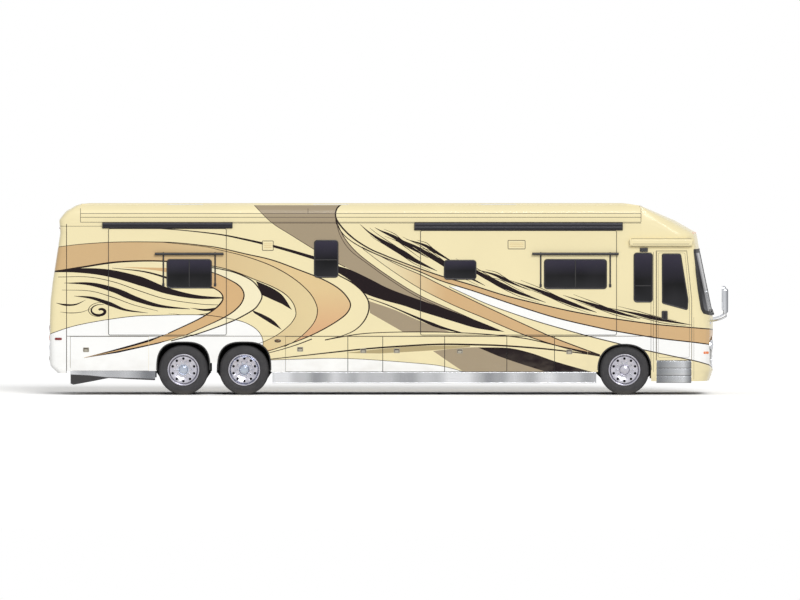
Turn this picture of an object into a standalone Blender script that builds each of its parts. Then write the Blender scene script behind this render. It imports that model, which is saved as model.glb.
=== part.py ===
"""Motorhome: a bus-type coach on three axles, with slide-outs, bay doors and an entry door.

Metres. +X is forward, +Y is the coach's left and +Z is up. The origin lies on the ground under
the middle of the bounding box. A station is a distance ahead of the rear bumper.
"""
import math

import bmesh
import bpy
from mathutils import Matrix, Vector

# Whole vehicle
LENGTH = 13.70
WIDTH = 2.59
HEIGHT = 3.92
MIRROR_REACH = 0.29
HALF = WIDTH / 2
REAR = -(LENGTH + MIRROR_REACH) / 2

# Gaps and overruns
SEAT = 0.0003
SPIN_GAP = 0.0008
HINGE_GAP = 0.0004
DOOR_GAP = 0.0065
SLIDE_GAP = 0.006
OVERRUN = 0.1

# Levels of the body
SILL_Z = 0.453
CHIN_Z = 0.284
BELT_LOW = 1.205
BELT_HIGH = 1.238
EAVE_Z = 3.543
CAP_STEP_Z = 3.22
CEILING_Z = 3.50
WALL_T = 0.045
FLOOR_T = 0.09
FLOOR_LOW = BELT_HIGH - FLOOR_T
INNER = HALF - WALL_T

# Axles
DRIVE_STATION = 4.021
TAG_SPACING = 1.254
FRONT_OVERHANG = 1.845
TAG_STATION = DRIVE_STATION - TAG_SPACING
FRONT_STATION = LENGTH - FRONT_OVERHANG
WHEELBASE = FRONT_STATION - DRIVE_STATION
TYRE_R = 0.515
TYRE_W = 0.30
TYRE_SET = 0.22
TWIN_SPACING = 0.35
TYRE_Y = HALF - TYRE_SET
TWIN_Y = TYRE_Y - TWIN_SPACING
RIM_R = 0.30

# Wheel arches: the rear ones are squarer
ARCH_HALF = 0.55
REAR_ARCH_TOP = 1.092
FRONT_ARCH_TOP = 1.045
REAR_ARCH_POWER = 2.9
FRONT_ARCH_POWER = 2.3
TONGUE_Z = 0.66

# Seams between the caps and the walls
REAR_SEAM = 0.363
REAR_CAP_TOP_SEAM = 0.64
FRONT_SEAM_SET = 0.434
FRONT_SEAM = LENGTH - FRONT_SEAM_SET
FRONT_CAP_LENGTH = 1.505
FRONT_CAP_TOP_SEAM = LENGTH - FRONT_CAP_LENGTH

WHEEL_STEPS = 20
ROUND_STEPS = 10
FILLET_STEPS = 2


def at(station):
    """World x of a station."""
    return REAR + station


def aft(share):
    """Station as a share of the way from the rear bumper to the drive axle."""
    return share * DRIVE_STATION


def mid(share):
    """Station as a share of the wheelbase, from the drive axle."""
    return DRIVE_STATION + share * WHEELBASE


def fore(share):
    """Station as a share of the front overhang, from the front axle."""
    return FRONT_STATION + share * FRONT_OVERHANG


def rise(share):
    """Height as a share of the way from the belt to the eaves."""
    return BELT_HIGH + share * (EAVE_Z - BELT_HIGH)


# Materials


def material(name, colour, roughness, metallic=0.0, alpha=1.0):
    made = bpy.data.materials.new(name)
    made.use_nodes = True
    shader = made.node_tree.nodes["Principled BSDF"]
    shader.inputs["Base Color"].default_value = (*colour, 1.0)
    shader.inputs["Roughness"].default_value = roughness
    shader.inputs["Metallic"].default_value = metallic
    shader.inputs["Alpha"].default_value = alpha
    made.diffuse_color = (*colour, alpha)
    return made


def clear_scene():
    for old in list(bpy.data.objects):
        bpy.data.objects.remove(old, do_unlink=True)


clear_scene()

CREAM = material("cream_paint", (0.87, 0.77, 0.50), 0.25)
WHITE = material("white_paint", (0.90, 0.89, 0.86), 0.25)
BLACK = material("black_steel", (0.03, 0.03, 0.03), 0.5)
DARK_GLASS = material("dark_glass", (0.03, 0.03, 0.05), 0.08, 0.0, 0.6)
STEEL = material("stainless", (0.62, 0.62, 0.63), 0.25, 1.0)
CHROME = material("chrome", (0.80, 0.80, 0.82), 0.12, 1.0)
RUBBER = material("tyre_rubber", (0.03, 0.03, 0.03), 0.85)
CASTING = material("cast_iron", (0.10, 0.10, 0.11), 0.6, 0.7)
LINING = material("floor_lining", (0.28, 0.24, 0.20), 0.8)
LEATHER = material("leather", (0.45, 0.36, 0.26), 0.5)


# Solids


def add_object(name, bm, look, origin=(0, 0, 0)):
    """A new object of the bmesh, with its origin where a joint's axis may pass."""
    bmesh.ops.recalc_face_normals(bm, faces=bm.faces)
    bmesh.ops.translate(bm, vec=-Vector(origin), verts=bm.verts)
    mesh = bpy.data.meshes.new(name)
    bm.to_mesh(mesh)
    bm.free()
    mesh.materials.append(look)
    made = bpy.data.objects.new(name, mesh)
    made.location = origin
    bpy.context.scene.collection.objects.link(made)
    return made


def loft(name, rings, look, origin=(0, 0, 0)):
    """A closed body through rings of equally many points, flat at both ends."""
    bm = bmesh.new()
    rows = [[bm.verts.new(point) for point in ring] for ring in rings]
    count = len(rows[0])
    for lower, upper in zip(rows, rows[1:]):
        for i in range(count):
            j = (i + 1) % count
            bm.faces.new((lower[i], lower[j], upper[j], upper[i]))
    bm.faces.new(rows[0])
    bm.faces.new(rows[-1])
    return add_object(name, bm, look, origin)


PLANES = {
    "X": lambda u, v, w: (w, u, v),
    "Y": lambda u, v, w: (u, w, v),
    "Z": lambda u, v, w: (u, v, w),
}


def prism(name, outline, axis, start, end, look, origin=(0, 0, 0)):
    """The outline drawn square to an axis, pushed along it from start to end."""
    place = PLANES[axis]
    rings = [[place(u, v, w) for u, v in outline] for w in (start, end)]
    return loft(name, rings, look, origin)


def block(name, low, high, look, origin=(0, 0, 0)):
    """A box from its low corner to its high corner."""
    outline = [(low[0], low[1]), (high[0], low[1]), (high[0], high[1]), (low[0], high[1])]
    return prism(name, outline, "Z", low[2], high[2], look, origin)


def drum(name, axis, centre, radius, start, end, look, steps=ROUND_STEPS):
    """A cylinder along an axis, about a centre in the plane square to it."""
    turn = math.tau / steps
    outline = [(centre[0] + radius * math.cos(turn * i), centre[1] + radius * math.sin(turn * i))
               for i in range(steps)]
    return prism(name, outline, axis, start, end, look)


def turned(name, profile, centre, side, look, steps=WHEEL_STEPS):
    """A closed profile of (radius, y) turned about the axle line through the centre.

    side is -1 for the right wheels and 1 for the left ones.
    """
    turn = math.tau / steps
    bm = bmesh.new()
    rings = []
    for radius, across in profile:
        y = side * across
        if radius == 0:
            rings.append([bm.verts.new((centre[0], y, centre[1]))])
            continue
        rings.append([
            bm.verts.new((centre[0] + radius * math.cos(turn * i), y,
                          centre[1] + radius * math.sin(turn * i)))
            for i in range(steps)])
    for ring, following in zip(rings, rings[1:] + rings[:1]):
        for i in range(steps):
            j = (i + 1) % steps
            if len(ring) == 1 and len(following) == 1:
                continue
            if len(ring) == 1:
                bm.faces.new((ring[0], following[j], following[i]))
            elif len(following) == 1:
                bm.faces.new((ring[i], ring[j], following[0]))
            else:
                bm.faces.new((ring[i], ring[j], following[j], following[i]))
    return add_object(name, bm, look, (centre[0], 0, centre[1]))


def boolean(body, operation, tools):
    """Cut or join the tools, which then stay as guides that are not rendered."""
    group = bpy.data.collections.new(f"{body.name}_{operation.lower()}")
    bpy.context.scene.collection.children.link(group)
    for tool in tools:
        bpy.context.scene.collection.objects.unlink(tool)
        group.objects.link(tool)
        tool.hide_render = True
        tool.display_type = "WIRE"
    step = body.modifiers.new(operation.lower(), "BOOLEAN")
    step.operation = operation
    step.solver = "EXACT"
    step.operand_type = "COLLECTION"
    step.collection = group
    return body


def cut(body, tools):
    return boolean(body, "DIFFERENCE", tools)


def join(body, tools):
    return boolean(body, "UNION", tools)


def keep_inside(body, tool):
    """Keep what lies inside one tool."""
    step = body.modifiers.new("trim", "BOOLEAN")
    step.operation = "INTERSECT"
    step.solver = "EXACT"
    step.object = tool
    tool.hide_render = True
    tool.display_type = "WIRE"
    return body


def fillet(corners, closed=True):
    """Corners of (u, v, radius) as points, each round corner as an arc."""
    count = len(corners)
    points = []
    for i, (u, v, radius) in enumerate(corners):
        inner = closed or 0 < i < count - 1
        here = Vector((u, v))
        if radius == 0 or not inner:
            points.append((u, v))
            continue
        before = Vector(corners[i - 1][:2])
        after = Vector(corners[(i + 1) % count][:2])
        to_before = (before - here).normalized()
        to_after = (after - here).normalized()
        half_angle = to_before.angle(to_after) / 2
        longest = min((before - here).length, (after - here).length) / 2
        reach = min(radius / math.tan(half_angle), longest)
        swing = reach * math.tan(half_angle)
        centre = here + (to_before + to_after).normalized() * math.hypot(reach, swing)
        first = here + to_before * reach - centre
        last = here + to_after * reach - centre
        sweep = first.angle_signed(last)
        for step in range(FILLET_STEPS + 1):
            arm = first.copy()
            arm.rotate(Matrix.Rotation(-sweep * step / FILLET_STEPS, 2))
            points.append(tuple(centre + arm))
    return points


def rounded_box(low, high, radius):
    """Corners of a rectangle in a plane, with arcs of one radius."""
    corners = [(low[0], low[1], radius), (high[0], low[1], radius),
               (high[0], high[1], radius), (low[0], high[1], radius)]
    return fillet(corners)


def offset(outline, distance):
    """A closed outline of (u, v) moved outward by a distance, or inward if it is negative."""
    area = sum(a[0] * b[1] - b[0] * a[1] for a, b in zip(outline, outline[1:] + outline[:1]))
    sign = math.copysign(1, area)
    moved = []
    for before, here, after in zip(outline[-1:] + outline[:-1], outline, outline[1:] + outline[:1]):
        along = [Vector(here) - Vector(before), Vector(after) - Vector(here)]
        normals = [Vector((edge.y, -edge.x)).normalized() * sign for edge in along]
        middle = (normals[0] + normals[1]).normalized()
        moved.append(tuple(Vector(here) + middle * distance / middle.dot(normals[0])))
    return moved


# Surface of the caps. The side outlines have three columns: setback from the end of the body as a
# share of the cap's depth, height as a share of the way from the lower edge to the roof, and fillet
# radius as a share of the depth.
NOSE_DEPTH = FRONT_CAP_LENGTH
TAIL_DEPTH = REAR_CAP_TOP_SEAM
NOSE_SHARES = (
    (0.0511, 0.0, 0.0),
    (0.0, 0.0594, 0.10),
    (0.0026, 0.3674, 0.396),
    (0.1859, 0.7332, 0.20),
    (0.2289, 0.835, 0.079),
    (0.5318, 0.9065, 0.534),
    (0.9835, 0.9855, 0.0),
)
TAIL_SHARES = (
    (0.251, 0.0, 0.0),
    (0.0, 0.0424, 0.186),
    (0.0, 0.426, 7.8),
    (0.3375, 0.830, 0.158),
    (0.3047, 0.9077, 0.125),
    (0.5156, 0.9567, 0.312),
    (0.8596, 0.9928, 0.312),
    (0.9713, 0.9957, 0.0),
)
CAP_T = 0.04
SHOULDER_W = 0.165
SHOULDER_H = 0.26
FRONT_CORNER_R = 0.37
FRONT_BOW = 0.06
REAR_CORNER_R = 0.12
REAR_BOW = 0.02
CORNER_STEPS = 4
CAVITY_STEPS = 2
BOW_SHARES = (0.55,)


def side_profile(shares, low, depth, smooth=True):
    """Points (setback, height) up the middle of a cap, with or without its fillets."""
    span = HEIGHT - low
    corners = [(back * depth, low + up * span, smooth * radius * depth)
               for back, up, radius in shares]
    return fillet(corners, closed=False)


def inset_profile(profile, depth):
    """The profile moved into the body along its own normals."""
    moved = []
    for i, (back, height) in enumerate(profile):
        before = profile[max(i - 1, 0)]
        after = profile[min(i + 1, len(profile) - 1)]
        run = Vector((after[0] - before[0], after[1] - before[1])).normalized()
        moved.append((back + run.y * depth, height - run.x * depth))
    return moved


def clipped_profile(profile, low, high):
    """The stretch of a profile between two heights, straight on below its first point."""
    points = [point for point in profile if low < point[1] < high]
    ends = []
    for level in (low, high):
        back = profile[0][0]
        for one, two in zip(profile, profile[1:]):
            if one[1] <= level <= two[1]:
                back = one[0] + (two[0] - one[0]) * (level - one[1]) / (two[1] - one[1])
        ends.append((back, level))
    return [ends[0]] + points + [ends[1]]


def half_width(height):
    """Half the body's width: straight sides, then a quarter ellipse up to the roof's rim."""
    over = max(0.0, height - (HEIGHT - SHOULDER_H)) / SHOULDER_H
    return HALF - SHOULDER_W * (1 - math.sqrt(max(0.0, 1 - over * over)))


def cap_ring(end, inward, seam, height, inset, corner_r, bow, steps):
    """One level of a cap, from its right seam round the end of the body to its left seam."""
    side = half_width(height) - inset
    depth = abs(seam - end)
    radius = min(corner_r - inset, depth / 2)
    flat = side - radius
    low_bow = min(bow, depth / 4)
    half = [(at(seam), side)]
    centre_x = end + inward * (low_bow + radius)
    for step in range(steps + 1):
        angle = math.pi / 2 * step / steps
        half.append((at(centre_x - inward * radius * math.sin(angle)),
                     flat + radius * math.cos(angle)))
    for share in BOW_SHARES:
        half.append((at(end + inward * low_bow * share ** 2), flat * share))
    left = [(x, y, height) for x, y in half]
    right = [(x, -y, height) for x, y in half]
    return right + [(at(end), 0, height)] + left[::-1]


def front_shell(name, inset, low, high, seam, look, smooth=True):
    """The solid inside the nose's surface, set in by the inset."""
    middle = side_profile(NOSE_SHARES, CHIN_Z, NOSE_DEPTH, smooth)
    profile = clipped_profile(inset_profile(middle, inset), low, high)
    steps = CORNER_STEPS if smooth else CAVITY_STEPS
    rings = [cap_ring(LENGTH - back, -1, seam, height, inset, FRONT_CORNER_R, FRONT_BOW, steps)
             for back, height in profile]
    return loft(name, rings, look)


def rear_shell(name, inset, low, high, seam, look, smooth=True):
    """The solid inside the tail's surface, set in by the inset."""
    middle = side_profile(TAIL_SHARES, SILL_Z, TAIL_DEPTH, smooth)
    profile = clipped_profile(inset_profile(middle, inset), low, high)
    steps = CORNER_STEPS if smooth else CAVITY_STEPS
    rings = [cap_ring(back, 1, seam, height, inset, REAR_CORNER_R, REAR_BOW, steps)
             for back, height in profile]
    return loft(name, rings, look)


def profile_top(shares, low):
    return low + shares[-1][1] * (HEIGHT - low)


# Front cap, windshield and fascia. The windshield's outline has two columns: station as a share
# of the way from the seam to the nose, and height as a share of the way from belt to eaves.
WINDSHIELD_SHARES = (
    (0.040, 0.758),
    (0.250, 0.401),
    (0.400, 0.232),
    (0.500, 0.196),
    (0.910, 0.174),
)
WINDSHIELD_T = 0.014
WINDSHIELD_SINK = 0.004
FASCIA_SINK = 0.012
FASCIA_T = 0.03
FASCIA_HALF = 1.10
FASCIA_LOW = 0.50
FASCIA_HIGH = 1.20
FASCIA_R = 0.06
GRILLE_HALF = 0.56
GRILLE_LOW = 0.60
GRILLE_PITCH = 0.095
GRILLE_SLOT = 0.055
GRILLE_SLOTS = 5
LAMP_R = 0.085
LAMP_Y_SHARES = (0.64, 0.84)
LAMP_Z = 1.02
LAMP_PROUD = 0.01
LAMP_STEPS = 10


def windshield_outline(gap):
    """Side view of the windshield's opening, made smaller by the gap."""
    span = LENGTH - FRONT_SEAM
    edge = [(FRONT_SEAM + along * span, rise(up)) for along, up in WINDSHIELD_SHARES]
    top = rise(WINDSHIELD_SHARES[0][1])
    bottom = rise(WINDSHIELD_SHARES[-1][1])
    outline = edge + [(LENGTH + OVERRUN, bottom), (LENGTH + OVERRUN, top)]
    outline = [(at(station), height) for station, height in outline]
    return offset(outline, -gap)


def fascia_cutter(name, gap):
    outline = rounded_box((-FASCIA_HALF + gap, FASCIA_LOW + gap),
                          (FASCIA_HALF - gap, FASCIA_HIGH - gap), FASCIA_R)
    return prism(name, outline, "X", at(LENGTH - FRONT_CORNER_R), at(LENGTH + OVERRUN), CREAM)


def build_front_cap():
    top = profile_top(NOSE_SHARES, CHIN_Z)
    cap = front_shell("front_cap", 0, CHIN_Z, top, FRONT_CAP_TOP_SEAM + SEAT, CREAM)
    cavity = front_shell("front_cavity", CAP_T, CHIN_Z - OVERRUN, CEILING_Z,
                         FRONT_CAP_TOP_SEAM - OVERRUN, CREAM, smooth=False)
    step = block("front_step", (at(FRONT_CAP_TOP_SEAM - OVERRUN), -WIDTH, CHIN_Z - OVERRUN),
                 (at(FRONT_SEAM + SEAT), WIDTH, CAP_STEP_Z), CREAM)
    glass = prism("windshield_hole", windshield_outline(0), "Y", -WIDTH, WIDTH, CREAM)
    return cut(cap, [cavity, step, glass, fascia_cutter("fascia_hole", 0)])


def build_windshield():
    top = profile_top(NOSE_SHARES, CHIN_Z)
    low = BELT_LOW
    seam = FRONT_CAP_TOP_SEAM
    pane = front_shell("windshield", WINDSHIELD_SINK, low, CEILING_Z, seam, DARK_GLASS)
    hollow = front_shell("windshield_inside", WINDSHIELD_SINK + WINDSHIELD_T, low - OVERRUN,
                         top, seam - OVERRUN, DARK_GLASS)
    cut(pane, [hollow])
    trim = prism("windshield_trim", windshield_outline(SEAT), "Y", -WIDTH, WIDTH, DARK_GLASS)
    return keep_inside(pane, trim)


def build_fascia():
    low = FASCIA_LOW - OVERRUN
    high = FASCIA_HIGH + OVERRUN
    corner = at(LENGTH - FRONT_CORNER_R)
    seam = FRONT_CAP_TOP_SEAM
    panel = front_shell("front_fascia", FASCIA_SINK, low, high, seam, CHROME)
    hollow = front_shell("fascia_inside", FASCIA_SINK + FASCIA_T, low - OVERRUN, high + OVERRUN,
                         seam - OVERRUN, CHROME)
    slots = []
    for i in range(GRILLE_SLOTS):
        slot_low = GRILLE_LOW + i * GRILLE_PITCH
        slots.append(block(f"grille_slot_{i}", (corner, -GRILLE_HALF, slot_low),
                           (at(LENGTH + OVERRUN), GRILLE_HALF, slot_low + GRILLE_SLOT), CHROME))
    cut(panel, [hollow] + slots)
    keep_inside(panel, fascia_cutter("fascia_trim", SEAT))
    lamps = []
    for side in (-1, 1):
        for share in LAMP_Y_SHARES:
            y = side * share * FASCIA_HALF
            bend = FRONT_BOW * share ** 2
            start = at(LENGTH - FASCIA_SINK - FASCIA_T - bend - LAMP_R)
            end = at(LENGTH - FASCIA_SINK - bend + LAMP_PROUD)
            lamps.append(drum(f"lamp_{side}_{share}", "X", (y, LAMP_Z), LAMP_R, start, end,
                              CHROME, LAMP_STEPS))
    return join(panel, lamps)


# Rear cap and engine door
ENGINE_DOOR_HALF = 0.80
ENGINE_DOOR_LOW = 0.62
ENGINE_DOOR_HIGH = 1.60
ENGINE_DOOR_R = 0.05
ENGINE_DOOR_T = 0.03
LOUVRE_HALF = 0.45
LOUVRE_LOW = 0.98
LOUVRE_PITCH = 0.085
LOUVRE_H = 0.045
LOUVRES = 5
TAIL_LAMP_SET = 0.265
TAIL_LAMP_R = 0.085
TAIL_LAMP_Z_SHARES = (0.225, 0.375)
TAIL_LAMP_DEPTH = 0.02


def engine_cutter(name, side_gap, top_gap):
    outline = [(-ENGINE_DOOR_HALF + side_gap, ENGINE_DOOR_LOW + side_gap, ENGINE_DOOR_R),
               (ENGINE_DOOR_HALF - side_gap, ENGINE_DOOR_LOW + side_gap, ENGINE_DOOR_R),
               (ENGINE_DOOR_HALF - side_gap, ENGINE_DOOR_HIGH - top_gap, 0),
               (-ENGINE_DOOR_HALF + side_gap, ENGINE_DOOR_HIGH - top_gap, 0)]
    return prism(name, fillet(outline), "X", at(-OVERRUN), at(REAR_CORNER_R + REAR_BOW), WHITE)


def build_rear_cap():
    top = profile_top(TAIL_SHARES, SILL_Z)
    cap = rear_shell("rear_cap", 0, SILL_Z, top, REAR_CAP_TOP_SEAM - SEAT, CREAM)
    cavity = rear_shell("rear_cavity", CAP_T, SILL_Z - OVERRUN, CEILING_Z,
                        REAR_CAP_TOP_SEAM + OVERRUN, CREAM, smooth=False)
    step = block("rear_step", (at(REAR_SEAM - SEAT), -WIDTH, SILL_Z - OVERRUN),
                 (at(REAR_CAP_TOP_SEAM + OVERRUN), WIDTH, EAVE_Z), CREAM)
    recesses = []
    low, high = (share * HEIGHT for share in TAIL_LAMP_Z_SHARES)
    for side in (-1, 1):
        middle = side * (HALF - TAIL_LAMP_SET)
        outline = rounded_box((middle - TAIL_LAMP_R, low), (middle + TAIL_LAMP_R, high), TAIL_LAMP_R)
        recesses.append(prism(f"tail_lamps_{side}", outline, "X", at(-OVERRUN),
                              at(REAR_BOW + TAIL_LAMP_DEPTH), CREAM))
    return cut(cap, [cavity, step, engine_cutter("engine_hole", 0, 0)] + recesses)


def build_engine_door():
    hinge = (at(0), 0, ENGINE_DOOR_HIGH)
    low = ENGINE_DOOR_LOW - OVERRUN
    high = ENGINE_DOOR_HIGH + OVERRUN
    door = rear_shell("engine_door", 0, low, high, REAR_SEAM, WHITE)
    hollow = rear_shell("engine_door_inside", ENGINE_DOOR_T, low - OVERRUN, high + OVERRUN,
                        REAR_SEAM + OVERRUN, WHITE)
    slots = []
    for i in range(LOUVRES):
        slot_low = LOUVRE_LOW + i * LOUVRE_PITCH
        slots.append(block(f"louvre_{i}", (at(-OVERRUN), -LOUVRE_HALF, slot_low),
                           (at(REAR_CORNER_R), LOUVRE_HALF, slot_low + LOUVRE_H), WHITE))
    cut(door, [hollow] + slots)
    keep_inside(door, engine_cutter("engine_door_trim", DOOR_GAP, HINGE_GAP))
    door.data.transform(Matrix.Translation(-Vector(hinge)))
    door.location = hinge
    return door


# Openings in the walls. Stations are shares as aft, mid or fore read them; heights as rise does.
SLIDE_LOW = 1.243
REAR_SLIDE_SHARES = (0.3054, 0.9082)
FRONT_SLIDE_SHARES = (0.4639, 0.9789)
REAR_SLIDE_TOP_SHARE = 0.949
FRONT_SLIDE_TOP_SHARE = 0.9315
HALL_SHARES = (0.1846, 0.2466, 0.515, 0.8447)
COPILOT_SHARES = (0.1062, 0.3117, 0.294, 0.7319)
DRIVER_SHARES = (0.1062, 0.640, 0.294, 0.7319)
WINDOW_R = 0.06
WINDOW_LAP = 0.02
WINDOW_PROUD = 0.008
DOOR_WIDTH = 0.718
DOOR_SET = 0.033
DOOR_TOP_SHARE = 0.7497
DOOR_BEND_SHARE = 0.318
DOOR_LEAN = 0.103
DOOR_LOW = 0.71
DOOR_T = 0.045
BAY_DOOR_T = 0.04
BAY_DOOR_LOW = 0.484
DOOR_RISE_GAP = 0.005
SKIRT_TOP = 0.495
REAR_DOOR_SHARES = (0.1102, 0.5103)
REAR_SKIRT_WIDTH = 0.165
BAY_REAR_SKIRT = 0.305
BAY_FRONT_SKIRT = 0.21
BAY_SEAM_SHARES = (0.0, 0.2053, 0.321, 0.526, 0.732, 0.890, 1.0)
LEFT_BAYS = (0, 3)
FIN_W = 0.006
ARCH_STEPS = 14

DOOR_FRONT = FRONT_SEAM - DOOR_SET
DOOR_REAR = DOOR_FRONT - DOOR_WIDTH
BAY_REAR = DRIVE_STATION + ARCH_HALF + BAY_REAR_SKIRT
BAY_FRONT = FRONT_STATION - ARCH_HALF - BAY_FRONT_SKIRT
BAY_SEAMS = [BAY_REAR + share * (BAY_FRONT - BAY_REAR) for share in BAY_SEAM_SHARES]
SLIDES = {
    "rear": (aft(REAR_SLIDE_SHARES[0]), aft(REAR_SLIDE_SHARES[1]), rise(REAR_SLIDE_TOP_SHARE)),
    "front": (mid(FRONT_SLIDE_SHARES[0]), mid(FRONT_SLIDE_SHARES[1]), rise(FRONT_SLIDE_TOP_SHARE)),
}
SIDE_NAMES = {-1: "right", 1: "left"}


def arch_cutter(name, station, top, power):
    """A wheel arch: half a superellipse over the axle, with straight legs down."""
    height = top - TYRE_R
    outline = [(at(station - ARCH_HALF), CHIN_Z - OVERRUN)]
    for step in range(ARCH_STEPS + 1):
        angle = math.pi * (1 - step / ARCH_STEPS)
        across = math.copysign(abs(math.cos(angle)) ** (2 / power), math.cos(angle))
        up = abs(math.sin(angle)) ** (2 / power)
        outline.append((at(station + ARCH_HALF * across), TYRE_R + height * up))
    outline.append((at(station + ARCH_HALF), CHIN_Z - OVERRUN))
    return prism(name, outline, "Y", -WIDTH, WIDTH, WHITE)


def door_outline(gap, hinge_gap):
    """The entry door in side view: its front edge leans back above the bend."""
    return [
        (at(DOOR_REAR + gap), DOOR_LOW + gap),
        (at(DOOR_FRONT - hinge_gap), DOOR_LOW + gap),
        (at(DOOR_FRONT - hinge_gap), rise(DOOR_BEND_SHARE)),
        (at(DOOR_FRONT - DOOR_LEAN - hinge_gap), rise(DOOR_TOP_SHARE) - gap),
        (at(DOOR_REAR + gap), rise(DOOR_TOP_SHARE) - gap),
    ]


def window_outline(shares, place, growth):
    rear, front, low, high = shares
    box = rounded_box((at(place(rear)), rise(low)), (at(place(front)), rise(high)), WINDOW_R)
    return offset(box, growth)


def side_cut(name, low, high, side):
    """A cutter through one side wall, from (station, height) to (station, height)."""
    ends = sorted((side * (INNER - OVERRUN), side * (HALF + OVERRUN)))
    return block(name, (at(low[0]), ends[0], low[1]), (at(high[0]), ends[1], high[1]), WHITE)


def build_wall(side):
    word = SIDE_NAMES[side]
    bottom = CHIN_Z
    outline = [
        (at(REAR_SEAM), SILL_Z),
        (at(FRONT_STATION), SILL_Z),
        (at(FRONT_STATION), bottom),
        (at(FRONT_SEAM), bottom),
        (at(FRONT_SEAM), CAP_STEP_Z - SEAT),
        (at(FRONT_CAP_TOP_SEAM), CAP_STEP_Z - SEAT),
        (at(FRONT_CAP_TOP_SEAM), EAVE_Z - SEAT),
        (at(REAR_SEAM), EAVE_Z - SEAT),
    ]
    ends = sorted((side * INNER, side * HALF))
    wall = prism(f"wall_{word}", outline, "Y", ends[0], ends[1], CREAM)
    low = CHIN_Z - OVERRUN
    tools = [
        arch_cutter(f"arch_tag_{word}", TAG_STATION, REAR_ARCH_TOP, REAR_ARCH_POWER),
        arch_cutter(f"arch_drive_{word}", DRIVE_STATION, REAR_ARCH_TOP, REAR_ARCH_POWER),
        arch_cutter(f"arch_front_{word}", FRONT_STATION, FRONT_ARCH_TOP, FRONT_ARCH_POWER),
        side_cut(f"tongue_{word}", (TAG_STATION, low), (DRIVE_STATION, TONGUE_Z), side),
        side_cut(f"rear_skirt_cut_{word}", (REAR_SEAM - OVERRUN, low),
                 (TAG_STATION, SKIRT_TOP + SEAT), side),
        side_cut(f"strip_cut_{word}", (DRIVE_STATION, low), (FRONT_STATION, PAN_LOW), side),
        side_cut(f"rear_door_cut_{word}", (aft(REAR_DOOR_SHARES[0]) - DOOR_GAP, low),
                 (aft(REAR_DOOR_SHARES[1]), BELT_LOW), side),
    ]
    if side < 0:
        tools.append(side_cut("bays_cut", (BAY_SEAMS[0] - DOOR_GAP, low),
                              (BAY_SEAMS[-1], BELT_LOW), side))
        tools.append(prism("entry_cut", door_outline(0, 0), "Y", -HALF - OVERRUN, -INNER + OVERRUN,
                           WHITE))
        tools.append(side_cut("step_cut", (DOOR_REAR, low), (DOOR_FRONT, DOOR_LOW + OVERRUN), side))
    else:
        for bay in LEFT_BAYS:
            tools.append(side_cut(f"bay_cut_{bay}", (BAY_SEAMS[bay] - DOOR_GAP, low),
                                  (BAY_SEAMS[bay + 1], BELT_LOW), side))
    for name in wall_slides(side):
        rear, front, top = SLIDES[name]
        tools.append(side_cut(f"slide_cut_{name}_{word}", (rear + FLANGE - SLIDE_GAP, BELT_HIGH),
                              (front - FLANGE + SLIDE_GAP, top - FLANGE + SLIDE_GAP), side))
    for name, shares in wall_windows(side).items():
        place = mid if name == "window_hall" else fore
        outline = window_outline(shares, place, -WINDOW_LAP)
        tools.append(prism(f"{name}_hole", outline, "Y", ends[0] - OVERRUN, ends[1] + OVERRUN, WHITE))
    return cut(wall, tools)


def wall_slides(side):
    return ("rear", "front") if side < 0 else ("front",)


def wall_windows(side):
    if side < 0:
        return {"window_hall": HALL_SHARES, "window_copilot": COPILOT_SHARES}
    return {"window_driver": DRIVER_SHARES}


def build_window(name, outline, side, face, depth, extras=()):
    """A framed pane: its plug fills the hole and its rim laps the wall outside."""
    plug = offset(outline, -WINDOW_LAP - SEAT)
    rim_ends = sorted((side * (face + SEAT), side * (face + WINDOW_PROUD)))
    plug_ends = sorted((side * (face - depth), side * (face + WINDOW_PROUD / 2)))
    pane = prism(name, outline, "Y", rim_ends[0], rim_ends[1], DARK_GLASS)
    return join(pane, [prism(f"{name}_plug", plug, "Y", plug_ends[0], plug_ends[1], DARK_GLASS),
                       *extras])


def build_wall_windows():
    for side in (-1, 1):
        for name, shares in wall_windows(side).items():
            place = mid if name == "window_hall" else fore
            build_window(name, window_outline(shares, place, 0), side, HALF, WALL_T)


# Bay doors, hinged at their front edges on fins of the basement or on the wall


def build_bay_door(name, side, rear, front, low):
    hinge = (at(front), side * HALF, low)
    ends = sorted((side * (HALF - BAY_DOOR_T), side * HALF))
    outline = [
        (at(rear), low),
        (at(front - HINGE_GAP), low),
        (at(front - HINGE_GAP), BELT_LOW - DOOR_RISE_GAP),
        (at(rear), BELT_LOW - DOOR_RISE_GAP),
    ]
    return prism(name, outline, "Y", ends[0], ends[1], WHITE, hinge)


def bay_span(bay):
    """Rear and front stations of a bay door on the right, between the fins."""
    last = len(BAY_SEAMS) - 1
    rear = BAY_SEAMS[bay] + (FIN_W / 2 + DOOR_GAP if bay else 0)
    front = BAY_SEAMS[bay + 1] - (FIN_W / 2 if bay + 1 < last else 0)
    return rear, front


def build_bay_doors():
    for bay in range(len(BAY_SEAMS) - 1):
        rear, front = bay_span(bay)
        build_bay_door(f"bay_door_right_{bay + 1}", -1, rear, front, BAY_DOOR_LOW)
    for number, bay in enumerate(LEFT_BAYS):
        build_bay_door(f"bay_door_left_{number + 1}", 1, BAY_SEAMS[bay], BAY_SEAMS[bay + 1],
                       BAY_DOOR_LOW)
    for side in (-1, 1):
        build_bay_door(f"rear_door_{SIDE_NAMES[side]}", side, aft(REAR_DOOR_SHARES[0]),
                       aft(REAR_DOOR_SHARES[1]), SKIRT_TOP + DOOR_GAP)


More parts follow.
